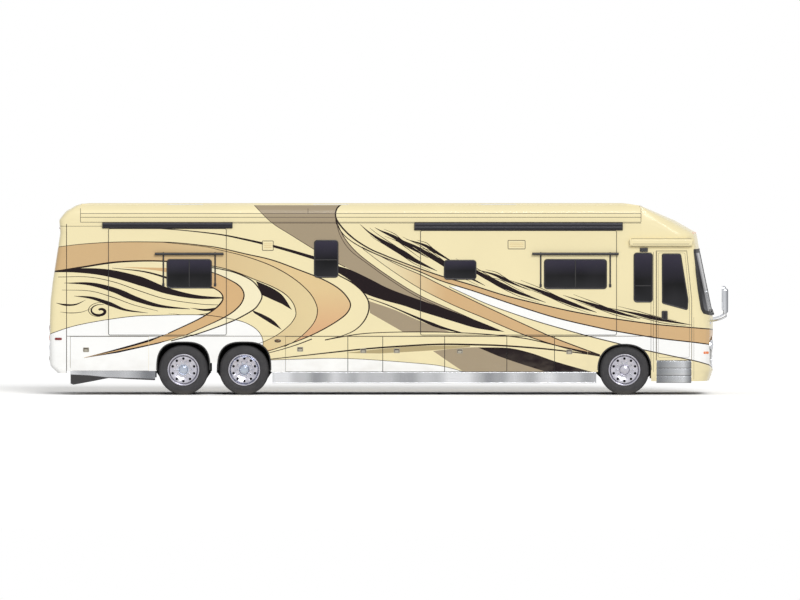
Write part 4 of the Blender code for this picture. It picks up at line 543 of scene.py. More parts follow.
def node_triangles(name):
    """The corners of a node's triangles, an array of (triangle, corner, axis), and their normals."""
    mesh = bpy.data.objects[name].data
    mesh.calc_loop_triangles()
    points = np.empty(len(mesh.vertices) * 3)
    mesh.vertices.foreach_get("co", points)
    corners = np.empty(len(mesh.loop_triangles) * 3, np.int32)
    mesh.loop_triangles.foreach_get("vertices", corners)
    made = points.reshape(-1, 3)[corners].reshape(-1, 3, 3)
    turned = np.cross(made[:, 1] - made[:, 0], made[:, 2] - made[:, 0])
    return made, turned / (np.linalg.norm(turned, axis=1)[:, None] + 1e-12)


def inside(points, outline):
    """Whether each point is inside an outline: a ray to the right crosses its edges an odd number
    of times."""
    found = np.zeros(len(points), bool)
    near = np.all((points > outline.min(0)) & (points < outline.max(0)), axis=1)
    x, z = points[near, 0][:, None], points[near, 1][:, None]
    a, b = outline, np.roll(outline, -1, axis=0)
    spans = (a[:, 1] > z) != (b[:, 1] > z)
    reach = a[:, 0] + (z - a[:, 1]) * (b[:, 0] - a[:, 0]) / (b[:, 1] - a[:, 1] + 1e-15)
    found[near] = (np.sum(spans & (x < reach), axis=1) % 2) == 1
    return found


def turn_area(a, b, c):
    """Twice the area of flat triangles, above zero where their corners go anticlockwise."""
    ab, ac = b - a, c - a
    return ab[..., 0] * ac[..., 1] - ab[..., 1] * ac[..., 0]


def coat(name, body, triangles, normals, unrolled):
    """Paint on a panel: its faces, laid flat, are cut along each stripe's outline, every piece takes
    the last stripe that it lies in, and the pieces go back to their place on the panel, moved out by
    the coat's thickness."""
    flat, index = np.unique(np.round(unrolled.reshape(-1, 2), 5), axis=0, return_inverse=True)
    index = index.reshape(-1, 3)
    area_two = turn_area(*(flat[index[:, i]] for i in range(3)))
    real = np.abs(area_two) > 1e-8
    index, triangles, normals, area_two = index[real], triangles[real], normals[real], area_two[real]
    turned = area_two < 0
    index[turned] = index[turned][:, ::-1]
    triangles = np.where(turned[:, None, None], triangles[:, ::-1], triangles)
    low, high = flat.min(0) - SQUARE, flat.max(0) + SQUARE
    points, edges, count = [flat], [], len(flat)
    for _, outline in plan:
        following = np.roll(outline, -1, axis=0)
        near = np.all((np.maximum(outline, following) > low) & (np.minimum(outline, following) < high),
                      axis=1)
        edges += [(count + i, count + (i + 1) % len(outline)) for i in np.flatnonzero(near).tolist()]
        points.append(outline)
        count += len(outline)
    verts = [Vector(p) for p in np.vstack(points).tolist()]
    out = delaunay_2d_cdt(verts, edges, index.tolist(), 1, 1e-6, True)
    made = np.array([tuple(p) for p in out[0]])
    kept = [(face, source[0]) for face, source in zip(out[2], out[5]) if source and len(face) == 3]
    faces = np.array([face for face, _ in kept])
    sources = np.array([source for _, source in kept])
    used, faces = np.unique(faces, return_inverse=True)
    faces = faces.reshape(-1, 3)
    made = made[used]
    home = np.zeros(len(used), np.int32)
    home[faces.ravel()] = np.repeat(sources, 3)
    a, b, c = (flat[index[home][:, i]] for i in range(3))
    whole = turn_area(a, b, c)
    second, third = turn_area(a, made, c) / whole, turn_area(a, b, made) / whole
    shares = np.stack([1 - second - third, second, third], 1)
    place = np.einsum("ij,ijk->ik", shares, triangles[home])
    out_way = np.zeros_like(place)
    np.add.at(out_way, faces.ravel(), np.repeat(normals[sources], 3, axis=0))
    place += COAT_T * out_way / (np.linalg.norm(out_way, axis=1)[:, None] + 1e-12)
    flipped = np.einsum("ij,ij->i", np.cross(place[faces[:, 1]] - place[faces[:, 0]],
                                             place[faces[:, 2]] - place[faces[:, 0]]), normals[sources]) < 0
    faces[flipped] = faces[flipped][:, ::-1]
    centres = made[faces].mean(axis=1)
    paint = np.zeros(len(faces), np.int32)
    for look, outline in plan:
        paint[inside(centres, outline)] = LOOK_ORDER.index(look)
    shell = put(name, place, faces, [looks[look] for look in LOOK_ORDER], paint)
    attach(shell, body)


HINGE_NEAR = 0.0006
HINGE_ROOM = 0.0045
SIDE_PANELS = ("wall_right", "wall_left", "entry_door", "slide_front_right", "slide_rear_right",
               "slide_front_left", "rear_door_right", "rear_door_left",
               *(f"bay_door_right_{i}" for i in range(1, 7)), *(f"bay_door_left_{i}" for i in range(1, 3)))


def side_flat(triangles):
    """Triangles of a side, laid flat as stations and heights."""
    return np.stack([triangles[:, :, 0] - REAR_X, triangles[:, :, 2]], 2)


def panel_coat(node, body):
    """The coat of a flat side panel; a wall's coat stands back from each hinge, where the open door
    turns into it."""
    triangles, normals = node_triangles(node)
    way = 1 if "left" in node else -1
    if node.startswith("wall"):
        for door in (name for name in SIDE_PANELS if "door" in name):
            leaf_points = node_triangles(door)[0]
            front = leaf_points[:, :, 0].max()
            if leaf_points[:, :, 1].mean() * way > 0:
                beside = np.abs(triangles[:, :, 0] - front) < HINGE_NEAR
                triangles[:, :, 0] += np.where(beside, HINGE_ROOM, 0.0)
    middle = triangles.mean(axis=1)[:, 1] * way
    outer = (normals[:, 1] * way > FACING) & (middle > SIDE_LOW) & (middle < SIDE_HIGH)
    coat(f"{node}_coat", body, triangles[outer], normals[outer], side_flat(triangles[outer]))


for node in SIDE_PANELS:
    panel_coat(node, "coach" if node.startswith("wall") else node)

# Roof fairings: the moulded sides of the roof carry the stripes up to its edge, above the walls and
# below the membrane of the deck.
FACE_UP = 0.97
ROOF_SIDE = 0.9
triangles, normals = node_triangles("roof")
for way, side in SIDES:
    outer = (normals[:, 1] * way > FACING) & (triangles.mean(axis=1)[:, 1] * way > ROOF_SIDE)
    outer &= normals[:, 2] < FACE_UP
    coat(f"roof_coat_{side}", "coach", triangles[outer], normals[outer], side_flat(triangles[outer]))

# Caps: the moulded glass-fibre front and rear ends of the coach. They are bonded to the frame and
# painted with the rest, each in two halves that are unrolled from the side to the middle.
CAP_SHEETS = {}


def round_coat(node, body, radius, ahead, way, side):
    """The coat of one half of a cap, unrolled: a corner of that radius turns from the side to the
    end, so a point's place along it is its x on the side, an arc's length round the corner, and then
    its way across the end."""
    triangles, normals = node_triangles(node)
    x, y, z = triangles[:, :, 0], triangles[:, :, 1] * way, triangles[:, :, 2]
    over = np.clip((z - LEAN_FROM) / LEAN_RISE, 0, 1)
    flat_half = HALF_WIDTH - LEAN * (1 - np.sqrt(1 - over ** 2)) - radius
    turn = np.arccos(np.clip((y - flat_half) / radius, 0, 1))
    along = x + ahead * (radius * (turn - np.sin(turn)) + np.maximum(0, flat_half - y)) - REAR_X
    facing = turn.mean(axis=1)
    side_way = np.stack([ahead * np.sin(facing), way * np.cos(facing), 0 * facing], 1)
    outer = (np.einsum("ij,ij->i", normals, side_way) > FACING) & (y.mean(axis=1) > 0)
    sheet = (triangles[outer], normals[outer], np.stack([along[outer], z[outer]], 2))
    CAP_SHEETS[node, way] = sheet
    coat(f"{node}_coat_{side}", body, *sheet)


for way, side in SIDES:
    round_coat("front_cap", "coach", NOSE_ROUND, 1, way, side)
    round_coat("rear_cap", "coach", TAIL_ROUND, -1, way, side)

# Trim: every moulding, seal and pane from here on is a section carried along a path, or rings of points joined
# one to the next. A finish is the name of a slot, which is not used, and the look that is drawn there.
ARC_STEPS = 8
SHARP = math.radians(38)


def joined(rows, columns, row_loop=False):
    """Quads between neighbouring rings of a grid, and from the last to the first where they loop."""
    i = np.arange(rows if row_loop else rows - 1)[:, None]
    j = np.arange(columns)[None, :]
    after_i, after_j = (i + 1) % rows, (j + 1) % columns
    quads = [i * columns + j, after_i * columns + j, after_i * columns + after_j, i * columns + after_j]
    return np.stack(np.broadcast_arrays(*quads), 2).reshape(-1, 4)


def placed(name, body, finish, points, faces):
    """A piece in one finish that moves with its body; its sharp edges stay crisp."""
    slot, look = finish
    made = put(name, points, faces, [look])
    made.data.set_sharp_from_angle(angle=SHARP)
    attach(made, body)
    return made


def solid(name, body, finish, grid, row_loop=False):
    """A closed shape from a grid of points (row, column, axis): rows are rings, and unless they loop
    the first and the last are filled. It is turned right side out by the sign of its volume."""
    rows, columns = grid.shape[:2]
    points = grid.reshape(-1, 3)
    quads = joined(rows, columns, row_loop)
    faces = quads.tolist()
    centre = points.mean(axis=0)
    a, b, c, d = (points[quads[:, k]] - centre for k in range(4))
    volume = np.einsum("ij,ij->", a, np.cross(b, c)) + np.einsum("ij,ij->", a, np.cross(c, d))
    if not row_loop:
        faces += [list(range(columns))[::-1], list(range((rows - 1) * columns, rows * columns))]
        for cap in faces[-2:]:
            ring = points[cap] - centre
            volume += np.einsum("ij,ij->", np.broadcast_to(ring[0], ring[1:-1].shape),
                                np.cross(ring[1:-1], ring[2:]))
    if volume < 0:
        faces = [face[::-1] for face in faces]
    return placed(name, body, finish, points, faces)


def circle_angles(count):
    """Angles spread evenly round a circle."""
    return np.linspace(0, 2 * math.pi, count, endpoint=False)


def corner_round(x0, x1, z0, z1, radius, steps=ARC_STEPS):
    """A rectangle with round corners, anticlockwise: a quarter circle at each corner."""
    t = np.linspace(0, math.pi / 2, steps)
    parts = []
    for k, (x, z) in enumerate(((x1 - radius, z1 - radius), (x0 + radius, z1 - radius),
                                (x0 + radius, z0 + radius), (x1 - radius, z0 + radius))):
        turn = t + k * math.pi / 2
        parts.append(np.stack([x + radius * np.cos(turn), z + radius * np.sin(turn)], 1))
    return np.vstack(parts)


def blunt(corners, radius, steps=ARC_STEPS):
    """An outline with each corner replaced by a curve: p = (1-t)^2 a + 2t(1-t) corner + t^2 b, where a
    and b lie a radius away on its two sides."""
    p = np.asarray(corners, float)
    before, after = np.roll(p, 1, axis=0) - p, np.roll(p, -1, axis=0) - p
    a = p + before / np.linalg.norm(before, axis=1)[:, None] * radius
    b = p + after / np.linalg.norm(after, axis=1)[:, None] * radius
    t = np.linspace(0, 1, steps)[None, :, None]
    curve = (1 - t) ** 2 * a[:, None] + 2 * t * (1 - t) * p[:, None] + t ** 2 * b[:, None]
    return curve.reshape(-1, 2)


def offset(path, amount, closed=True):
    """A path moved to its right by an amount, or out from an anticlockwise outline."""
    if closed:
        run = np.roll(path, -1, axis=0) - np.roll(path, 1, axis=0)
    else:
        run = np.gradient(path, axis=0)
    run = run / (np.linalg.norm(run, axis=1)[:, None] + 1e-12)
    return path + amount * np.stack([run[:, 1], -run[:, 0]], 1)


def to_side(path, out, way):
    """Stations and heights as points of the coach, at that distance out from its middle."""
    path = np.asarray(path, float)
    return np.stack([path[:, 0] + REAR_X, np.broadcast_to(way * np.asarray(out), len(path)), path[:, 1]], 1)


def moulding(name, body, finish, path, section, out, way=-1, closed=True):
    """A strip along a path on the side: its section, given as (across, proud) in turn round it."""
    path = np.asarray(path, float)
    rows = [to_side(offset(path, across, closed), out + proud, way) for across, proud in section]
    grid = np.stack(rows, 1)
    return solid(name, body, finish, grid, closed)


def half_round(width, height, steps=7):
    """The section of a half-round bead: a flat foot and an arch of that height."""
    t = np.linspace(0, math.pi, steps)
    return [(width / 2 * math.cos(a), height * math.sin(a)) for a in t]


def rounded_rings(outline, low, high, edge, steps=4):
    """The rings of a raised plate and how far out each lies: its foot, and then a rim rounded by a
    quarter circle as deep as the edge."""
    return [(outline, low)] + [(offset(outline, -edge * (1 - math.cos(a))), high - edge * (1 - math.sin(a)))
                               for a in np.linspace(0, math.pi / 2, steps)]


def pillow(name, body, finish, outline, low, high, edge, way=-1, steps=4):
    """A raised plate on the side over an outline, from one distance out to another."""
    rings = rounded_rings(outline, low, high, edge, steps)
    return solid(name, body, finish, np.stack([to_side(ring, out, way) for ring, out in rings], 0))


def plain(name, code, roughness, metallic=0.0, coat=0.0, grain=60.0, depth=0.0004, worn=0.12):
    """A plain finish: its tone drifts slowly, and a fine grain lifts its surface."""
    made, tree, body = shader(name, roughness, metallic, coat)
    colour = linear(code)
    drift = noise_at(tree, 2.5, 4.0)
    tone = blend_colours(tree, drift.outputs["Fac"], shade(colour, 1 - worn), shade(colour, 1 + worn))
    spread = add_node(tree, "ShaderNodeMapRange")
    spread.inputs["To Min"].default_value = max(0.02, roughness - 0.08)
    spread.inputs["To Max"].default_value = roughness + 0.08
    tree.links.new(noise_at(tree, 9.0, 3.0).outputs["Fac"], spread.inputs["Value"])
    tree.links.new(spread.outputs["Result"], body.inputs["Roughness"])
    dress(tree, body, tone, noise_at(tree, grain, 2.0), depth, 0.3)
    return made


rubber = plain("seal_rubber", "1F1E1F", 0.62, grain=220.0)
black_metal = plain("black_enamel", "171416", 0.4, coat=0.15, grain=160.0)
bright = plain("polished_alloy", "D9DADD", 0.16, 1.0, grain=40.0, depth=0.0001, worn=0.05)
chrome = plain("chrome_plate", "C6C8CC", 0.09, 1.0, grain=20.0, depth=0.0001, worn=0.03)
cast = plain("cast_iron", "3B3A3B", 0.6, 0.6, grain=90.0, depth=0.001)
seam_line = plain("sealant_line", "4A3F33", 0.5, grain=200.0)
satin = plain("latch_satin", "A39E90", 0.42, 0.5, grain=150.0)
BLACK, SEAM, RUBBER = ("black_steel", black_metal), ("black_steel", seam_line), ("tyre_rubber", rubber)
CHROME, SATIN, BRIGHT = ("chrome", chrome), ("stainless", satin), ("stainless", bright)
CREAM, GASKET_BLACK = ("cream_paint", looks["cream"]), ("tyre_rubber", black_metal)

# Moulding lines on the roof fairings: thin vinyl beads pressed on over the seams of the sides, with
# upright ends and a joint near the middle. They follow the fairing's lean at each row.
ROOF_FROM, ROOF_TO = (80.5 - REAR_COLUMN) * SQUARE, (641 - REAR_COLUMN) * SQUARE
ROOF_JOINT = (308 - REAR_COLUMN) * SQUARE
ROOF_ROWS = (213.5, 217.3, 222.2)
ROOF_ENDS = ((ROOF_FROM, 222.0), (ROOF_JOINT, 213.5), (ROOF_TO, 222.0))
BEAD = half_round(0.010, 0.004)


def on_roof(row):
    """How far out the fairing lies at a row: its side leans in from its shoulder."""
    z = (GROUND_ROW - row) * SQUARE
    triangles, normals = node_triangles("roof")
    outer = (normals[:, 1] < -FACING) & (triangles.mean(axis=1)[:, 1] < -ROOF_SIDE)
    points = triangles[outer].reshape(-1, 3)
    edge = np.unique(np.round(points[:, [2, 1]], 4), axis=0)
    return float(np.interp(z, edge[:, 0], -edge[:, 1]))


for way, side in SIDES:
    for k, row in enumerate(ROOF_ROWS):
        z = (GROUND_ROW - row) * SQUARE
        line = [(ROOF_FROM, z), (ROOF_JOINT, z), (ROOF_TO, z)]
        moulding(f"fairing_bead_{side}_{k + 1}", "coach", SEAM, line, BEAD, on_roof(row) + 0.0004, way,
                 closed=False)
    for k, (station, low_row) in enumerate(ROOF_ENDS):
        grid = [[(station + across + REAR_X, way * (on_roof(row) + 0.0006 + proud),
                  (GROUND_ROW - row) * SQUARE) for across, proud in BEAD]
                for row in np.linspace(208.4, low_row, 8)]
        solid(f"fairing_end_{side}_{k + 1}", "coach", SEAM, np.array(grid))

# Belt: a slim dark vinyl rail along each side of the coach, stuck on in one length where the bay
# doors meet the walls above them.
BELT_FROM, BELT_TO = 0.37, 12.44
BELT_Z = 1.2115
BELT_SECTION = half_round(0.011, 0.005)
for way, side in SIDES:
    rail = [(BELT_FROM, BELT_Z), (BELT_TO / 2, BELT_Z), (BELT_TO, BELT_Z)]
    moulding(f"belt_rail_{side}", "coach", SEAM, rail, BELT_SECTION, TRIM_FACE, way, closed=False)
# Seals of the slide-outs: a black bulb seal of hollow rubber, glued round the face of each slide-out
# on the flange that closes against the wall.
SLIDES = {"slide_rear_right": (1.228, 3.652, 3.425, -1), "slide_front_right": (7.655, 11.690, 3.385, -1),
          "slide_front_left": (7.655, 11.690, 3.385, 1)}
SLIDE_BOTTOM = 1.236
SLIDE_OUT = 1.3079
SEAL = half_round(0.012, 0.003)
for name, (rear, front, top, way) in SLIDES.items():
    outline = corner_round(rear, front, SLIDE_BOTTOM, top, 0.03, 4)
    moulding(f"{name}_seal", name, RUBBER, outline, SEAL, SLIDE_OUT, way)

# Windows: tinted panes in black rubber, clamped by an aluminium ring painted black. Sliding panes
# are parted by an upright or a level bar.
# The panes are painted bluer and lighter at the top and lighter at the foot: painted reflections on the tint.
GLASS_PAINTED_SKY_REFLECTION = linear("332F40")
GLASS_DARK = linear("0B0B0C")
GLASS_PAINTED_FOOT_REFLECTION = linear("232325")
WINDOW_ROUND = 0.06
GASKET = [(-0.018, -0.030), (-0.016, 0.004), (-0.008, 0.0075), (0.004, 0.0065), (0.010, 0.001),
          (0.010, -0.0075), (0.0, -0.030)]


def pane_look(name, low, high, foot=GLASS_PAINTED_FOOT_REFLECTION):
    """Tinted glass: dark and glossy, with painted reflections: bluer and lighter to its top, and lighter to its
    foot.
    """
    made, tree, body = shader(name, 0.1, gloss=0.4, ior=1.25)
    middle = low + 0.45 * (high - low)
    wave = noise_at(tree, 1.6, 1.0)
    lower = blend_colours(tree, axis_share(tree, "Z", low, middle), foot, GLASS_DARK)
    colour = blend_colours(tree, axis_share(tree, "Z", middle, high), lower, GLASS_PAINTED_SKY_REFLECTION)
    tone = blend_colours(tree, ramp(tree, wave.outputs["Fac"], 0.2, 4.0), colour, linear("5B5A60"))
    dress(tree, body, tone, wave, 0.002, 0.2)
    return made


WINDOWS = {
    "window_hall": (5.467, 5.953, 2.425, 3.185, "coach", 1.295, [((5.46, 2.785), (5.96, 2.785))]),
    "window_copilot": (12.051, 12.430, 1.916, 2.925, "coach", 1.295, [((12.05, 2.25), (12.43, 2.25))]),
    "window_driver": (12.051, 13.036, 1.916, 2.925, "coach", 1.295, [((12.55, 1.91), (12.55, 2.93))]),
    "window_bedroom": (2.431, 3.347, 2.206, 2.793, "slide_rear_right", 1.307, [((2.889, 2.2), (2.889, 2.8))]),
    "window_galley": (8.143, 8.796, 2.385, 2.775, "slide_front_right", 1.307, []),
    "window_lounge": (10.204, 11.485, 2.190, 2.793, "slide_front_right", 1.307,
                      [((10.844, 2.19), (10.844, 2.8))]),
    "window_salon": (10.204, 11.485, 2.190, 2.793, "slide_front_left", 1.307,
                     [((10.844, 2.19), (10.844, 2.8))]),
}
SHADED = ("window_bedroom", "window_lounge", "window_salon")
PANE_IN = 0.016
FRAME_PROUD, GLASS_PROUD, BAR_SHORT = 0.0085, 0.003, 0.03
BAR = half_round(0.022, 0.005)
for name, (rear, front, low, high, body, wall, bars) in WINDOWS.items():
    way = 1 if name in ("window_driver", "window_salon") else -1
    proud = wall + FRAME_PROUD
    outline = corner_round(rear, front, low, high, WINDOW_ROUND)
    glass = pane_look(f"{name}_glass", low, high)
    pane = pillow(f"{name}_pane", body, ("dark_glass", glass), offset(outline, -PANE_IN), proud - 0.03,
                  proud + GLASS_PROUD, 0.004, way)
    if name in SHADED:
        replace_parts(pane, name)
    moulding(f"{name}_gasket", body, GASKET_BLACK, outline, GASKET, proud, way)
    for k, bar in enumerate(bars):
        ends = [bar[0], tuple(np.mean(bar, axis=0)), bar[1]]
        trimmed = np.array(ends) + np.sign(np.mean(bar, axis=0) - np.array(ends)) * BAR_SHORT
        moulding(f"{name}_bar_{k + 1}", body, ("black_steel", rubber), trimmed, BAR, proud + GLASS_PROUD, way,
                 closed=False)
    for look_slot in bpy.data.objects[name].material_slots:
        look_slot.material = black_metal

# Window awnings: a roller in a dark case over three of the windows, held by two arms with gas
# struts that lie against the wall.
ROLLER_SIDES = 20
ROLLER_UP, ROLLER_OUT, ROLLER_R = 0.115, 0.047, 0.0275
ROLLER_PAST, BEVEL_PAST, BEVEL = 0.252, 0.246, 0.006
ARM_PAST = 0.075
STRUT = half_round(0.034, 0.018, 9)
for name in SHADED:
    rear, front, low, high, body, wall, _ = WINDOWS[name]
    way = 1 if name == "window_salon" else -1
    face = wall + 0.0009
    t = circle_angles(ROLLER_SIDES)
    centre_z, out = high + ROLLER_UP, wall + ROLLER_OUT
    x = np.array([rear - ROLLER_PAST, rear - BEVEL_PAST, front + BEVEL_PAST, front + ROLLER_PAST])
    r = np.array([ROLLER_R - BEVEL, ROLLER_R, ROLLER_R, ROLLER_R - BEVEL])
    grid = np.stack([np.broadcast_to(x[:, None] + REAR_X, (len(x), len(t))),
                     way * (out + r[:, None] * np.cos(t)), centre_z + r[:, None] * np.sin(t)], 2)
    solid(f"{name}_roller", body, BLACK, grid)
    for k, station in enumerate((rear - ARM_PAST, front + ARM_PAST)):
        strut = [(station, low + 0.06), (station, (low + high) / 2), (station, high + 0.10)]
        moulding(f"{name}_strut_{k + 1}", body, BLACK, strut, STRUT, wall + 0.001, way, closed=False)
        foot = corner_round(station - 0.024, station + 0.024, low + 0.03, low + 0.10, 0.012, 4)
        bracket = corner_round(station - 0.016, station + 0.016, high + 0.085, high + 0.150, 0.010, 4)
        pillow(f"{name}_bracket_{k + 1}", body, BLACK, bracket, face, wall + 0.060, 0.006, way)
        pillow(f"{name}_foot_{k + 1}", body, BLACK, foot, face, wall + 0.022, 0.005, way)

# Tyres: steel-belted highway tyres with four round grooves, cross cuts at the shoulders and moulded
# rings on the sidewalls. Two of them stand side by side on each end of the drive axle.
TYRE_R, TYRE_W = 0.515, 0.30
WHEEL_Z = TYRE_R
AXLES = {"tag": -4.228, "drive": -2.974, "front": 4.860}
SPOKES_ROUND = 180
# Each row: share of the half width, radius in metres, 1 where the cross cuts reach.
TYRE_ROWS = [(0.66, 0.300, 0), (0.80, 0.302, 0), (0.86, 0.312, 0), (0.865, 0.325, 0), (0.90, 0.338, 0),
             (0.945, 0.352, 0), (0.948, 0.356, 0), (0.975, 0.372, 0), (0.995, 0.395, 0), (1.0, 0.402, 0),
             (0.992, 0.407, 0), (0.997, 0.425, 0), (0.985, 0.445, 0), (0.975, 0.452, 0), (0.978, 0.456, 0),
             (0.955, 0.470, 0), (0.93, 0.482, 0.4), (0.90, 0.493, 1), (0.86, 0.503, 1), (0.80, 0.509, 1),
             (0.62, 0.5125, 1), (0.60, 0.5125, 0), (0.59, 0.500, 0), (0.50, 0.500, 0), (0.49, 0.5145, 0),
             (0.22, 0.515, 0), (0.21, 0.502, 0), (0.10, 0.502, 0), (0.09, 0.515, 0)]
CUT_DEPTH = 0.007

tyre_look, tree, body_shader = shader("tyre_rubber_black", 0.72)
soot = noise_at(tree, 5.0, 5.0)
tread_tone = blend_colours(tree, ramp(tree, soot.outputs["Fac"], 0.3, 0.8), linear("2A292B"),
                           linear("3B3A3C"))
dusty = blend_colours(tree, axis_share(tree, "Z", 0.12, 0.0), tread_tone, linear("4A4640"))
dress(tree, body_shader, dusty, noise_at(tree, 300.0, 2.0), 0.0006, 0.3)


def turned_about_axle(name, body, finish, profile, centre_x, way, row_loop=False, count=SPOKES_ROUND,
                      lift=0.0):
    """A turned part: each (out, radius) of the profile is carried round the axle, so a point is
    (cx + r cos a, out, cz + r sin a), with the radius less the lift at that row and angle."""
    p = np.asarray(profile, float)
    a = circle_angles(count)
    r = p[:, 1:2] - lift
    grid = np.stack([centre_x + r * np.cos(a), np.broadcast_to(way * p[:, :1], (len(p), count)),
                     WHEEL_Z + r * np.sin(a)], 2)
    return solid(name, body, finish, grid, row_loop)


def tyre(name, body, centre_x, centre_out, way):
    """A tyre: its half section is mirrored, and every third step round it has a cross cut."""
    rows = TYRE_ROWS + [(-s, r, cut) for s, r, cut in TYRE_ROWS[::-1]]
    rows = np.array([(centre_out + s * TYRE_W / 2, r, cut) for s, r, cut in rows])
    cuts = rows[:, 2:3] * CUT_DEPTH * (np.arange(SPOKES_ROUND) % 3 == 0)
    return turned_about_axle(name, body, ("tyre_rubber", tyre_look), rows[:, :2], centre_x, way, True,
                             lift=cuts)


# Rims: forged alloy discs, polished, with ten round hand holes, ten chromed nuts and a hub cap. The
# drive axle's outer wheels are the same disc turned round, so they are deeply dished.
HAND_HOLES = 10
HOLE_RING, HOLE_R = 0.232, 0.0265
NUT_RING, NUT_R = 0.145, 0.0165
DISC_EDGE, HUB_EDGE = 0.276, 0.098
DISC_T = 0.022
DISC_RINGS = (DISC_EDGE, 0.268, 0.196, 0.180, 0.168, 0.125, 0.112, HUB_EDGE)
RIM_SHELL = [(1.222, 0.325), (1.2255, 0.318), (1.219, 0.306), (1.205, 0.300), (1.188, 0.297), (1.172, 0.286),
             (1.150, 0.277), (0.955, 0.270), (0.950, 0.296), (0.928, 0.300), (0.925, 0.325), (0.932, 0.327),
             (0.945, 0.305), (0.965, 0.278), (1.150, 0.284), (1.180, 0.303), (1.205, 0.309), (1.216, 0.327)]
INNER_RIM = [(0.575, 0.325), (0.570, 0.318), (0.590, 0.300), (0.62, 0.272), (0.83, 0.268), (0.865, 0.298),
             (0.875, 0.325), (0.868, 0.328), (0.85, 0.306), (0.82, 0.278), (0.63, 0.282), (0.60, 0.306)]
NUT = np.array([(0.0, 1.25), (0.006, 1.25), (0.008, 1.0), (0.030, 0.92), (0.036, 0.7), (0.039, 0.25)])
NUT_SIDES = 12
# Each kind of wheel: its dish's height, rise, start, span and power, its nuts' seat and its hub's end.
FLAT_WHEEL = ((1.160, 0.006, 0.18, 0.09, 1), 1.148, 1.198)
DISHED_WHEEL = ((1.052, 0.03, 0.196, 0.08, 2), 1.040, 1.165)

alloy, tree, body_shader = shader("polished_rim_alloy", 0.2, 1.0)
turning = noise_at(tree, 14.0, 3.0)
dress(tree, body_shader, blend_colours(tree, turning.outputs["Fac"], linear("9A99A6"), linear("D8D6DD")),
      noise_at(tree, 120.0, 2.0), 0.0004, 0.2)
cap_chrome = plain("hub_cap_chrome", "B4BCCA", 0.08, 1.0, grain=20.0, depth=0.0001, worn=0.04)
hole_dark = plain("brake_drum_iron", "18171A", 0.7, 0.3, grain=80.0, depth=0.001)


def dish(r, height, rise, start, span, power):
    """How far out a disc's face lies: it rises towards its edge and steps in at its hub."""
    risen = rise * np.clip((r - start) / span, 0, 1) ** power
    return height + risen - 0.012 * np.clip((0.196 - r) / 0.028, 0, 1)


def disc(name, body, centre_x, dish_shape, way):
    """The disc of a rim: a ring with round holes is cut into triangles, its face is set out by the
    dish at each radius, and the back is the same face one thickness in."""
    around, small = circle_angles(120), circle_angles(24)
    rings = [np.stack([r * np.cos(around), r * np.sin(around)], 1) for r in DISC_RINGS]
    holes = [np.stack([HOLE_RING * math.cos(c) + HOLE_R * np.cos(small),
                       HOLE_RING * math.sin(c) + HOLE_R * np.sin(small)], 1)
             for c in np.arange(HAND_HOLES) * 2 * math.pi / HAND_HOLES + math.pi / HAND_HOLES]
    loops = rings + holes
    edges, count = [], 0
    for loop in loops:
        edges += [(count + i, count + (i + 1) % len(loop)) for i in range(len(loop))]
        count += len(loop)
    out = delaunay_2d_cdt([Vector(p) for p in np.vstack(loops).tolist()], edges, [], 1, 1e-7, True)
    flat = np.array([tuple(p) for p in out[0]])
    faces = np.array(out[2])
    middle = flat[faces].mean(axis=1)
    keep = np.linalg.norm(middle, axis=1) > HUB_EDGE - 0.001
    for hole in holes:
        keep &= ~inside(middle, hole)
    faces = faces[keep]
    front = way * dish(np.linalg.norm(flat, axis=1), *dish_shape)
    face_points = np.stack([centre_x + flat[:, 0], front, WHEEL_Z + flat[:, 1]], 1)
    both = np.vstack([face_points, face_points - np.array([0, way * DISC_T, 0])])
    n = len(flat)
    directed = np.vstack([faces[:, [0, 1]], faces[:, [1, 2]], faces[:, [2, 0]]])
    code = directed[:, 0] * n + directed[:, 1]
    border = directed[~np.isin(code, directed[:, 1] * n + directed[:, 0])]
    walls = np.stack([border[:, 1], border[:, 0], border[:, 0] + n, border[:, 1] + n], 1)
    all_faces = faces.tolist() + (faces[:, ::-1] + n).tolist() + walls.tolist()
    placed(name, body, ("chrome", alloy), both, [face[::-way] for face in all_faces])


def nuts(name, body, centre_x, out, way):
    """Chromed nut covers: ten short turned caps in a ring, each with a wide foot and a domed end."""
    around, r = circle_angles(NUT_SIDES), NUT[:, 1:2] * NUT_R
    each = len(NUT) * NUT_SIDES
    points, faces = [], []
    for k, c in enumerate(np.arange(HAND_HOLES) * 2 * math.pi / HAND_HOLES):
        grid = np.stack([centre_x + NUT_RING * math.cos(c) + r * np.cos(around),
                         np.broadcast_to(way * (out + NUT[:, 0:1]), (len(NUT), NUT_SIDES)),
                         WHEEL_Z + NUT_RING * math.sin(c) + r * np.sin(around)], 2)
        start = k * each
        points.append(grid.reshape(-1, 3))
        faces += (joined(len(NUT), NUT_SIDES) + start).tolist()
        ring = np.arange(start, start + NUT_SIDES)
        faces += [ring[::-1].tolist(), (ring + each - NUT_SIDES).tolist()]
    placed(name, body, CHROME, np.vstack(points), [face[::-way] for face in faces])


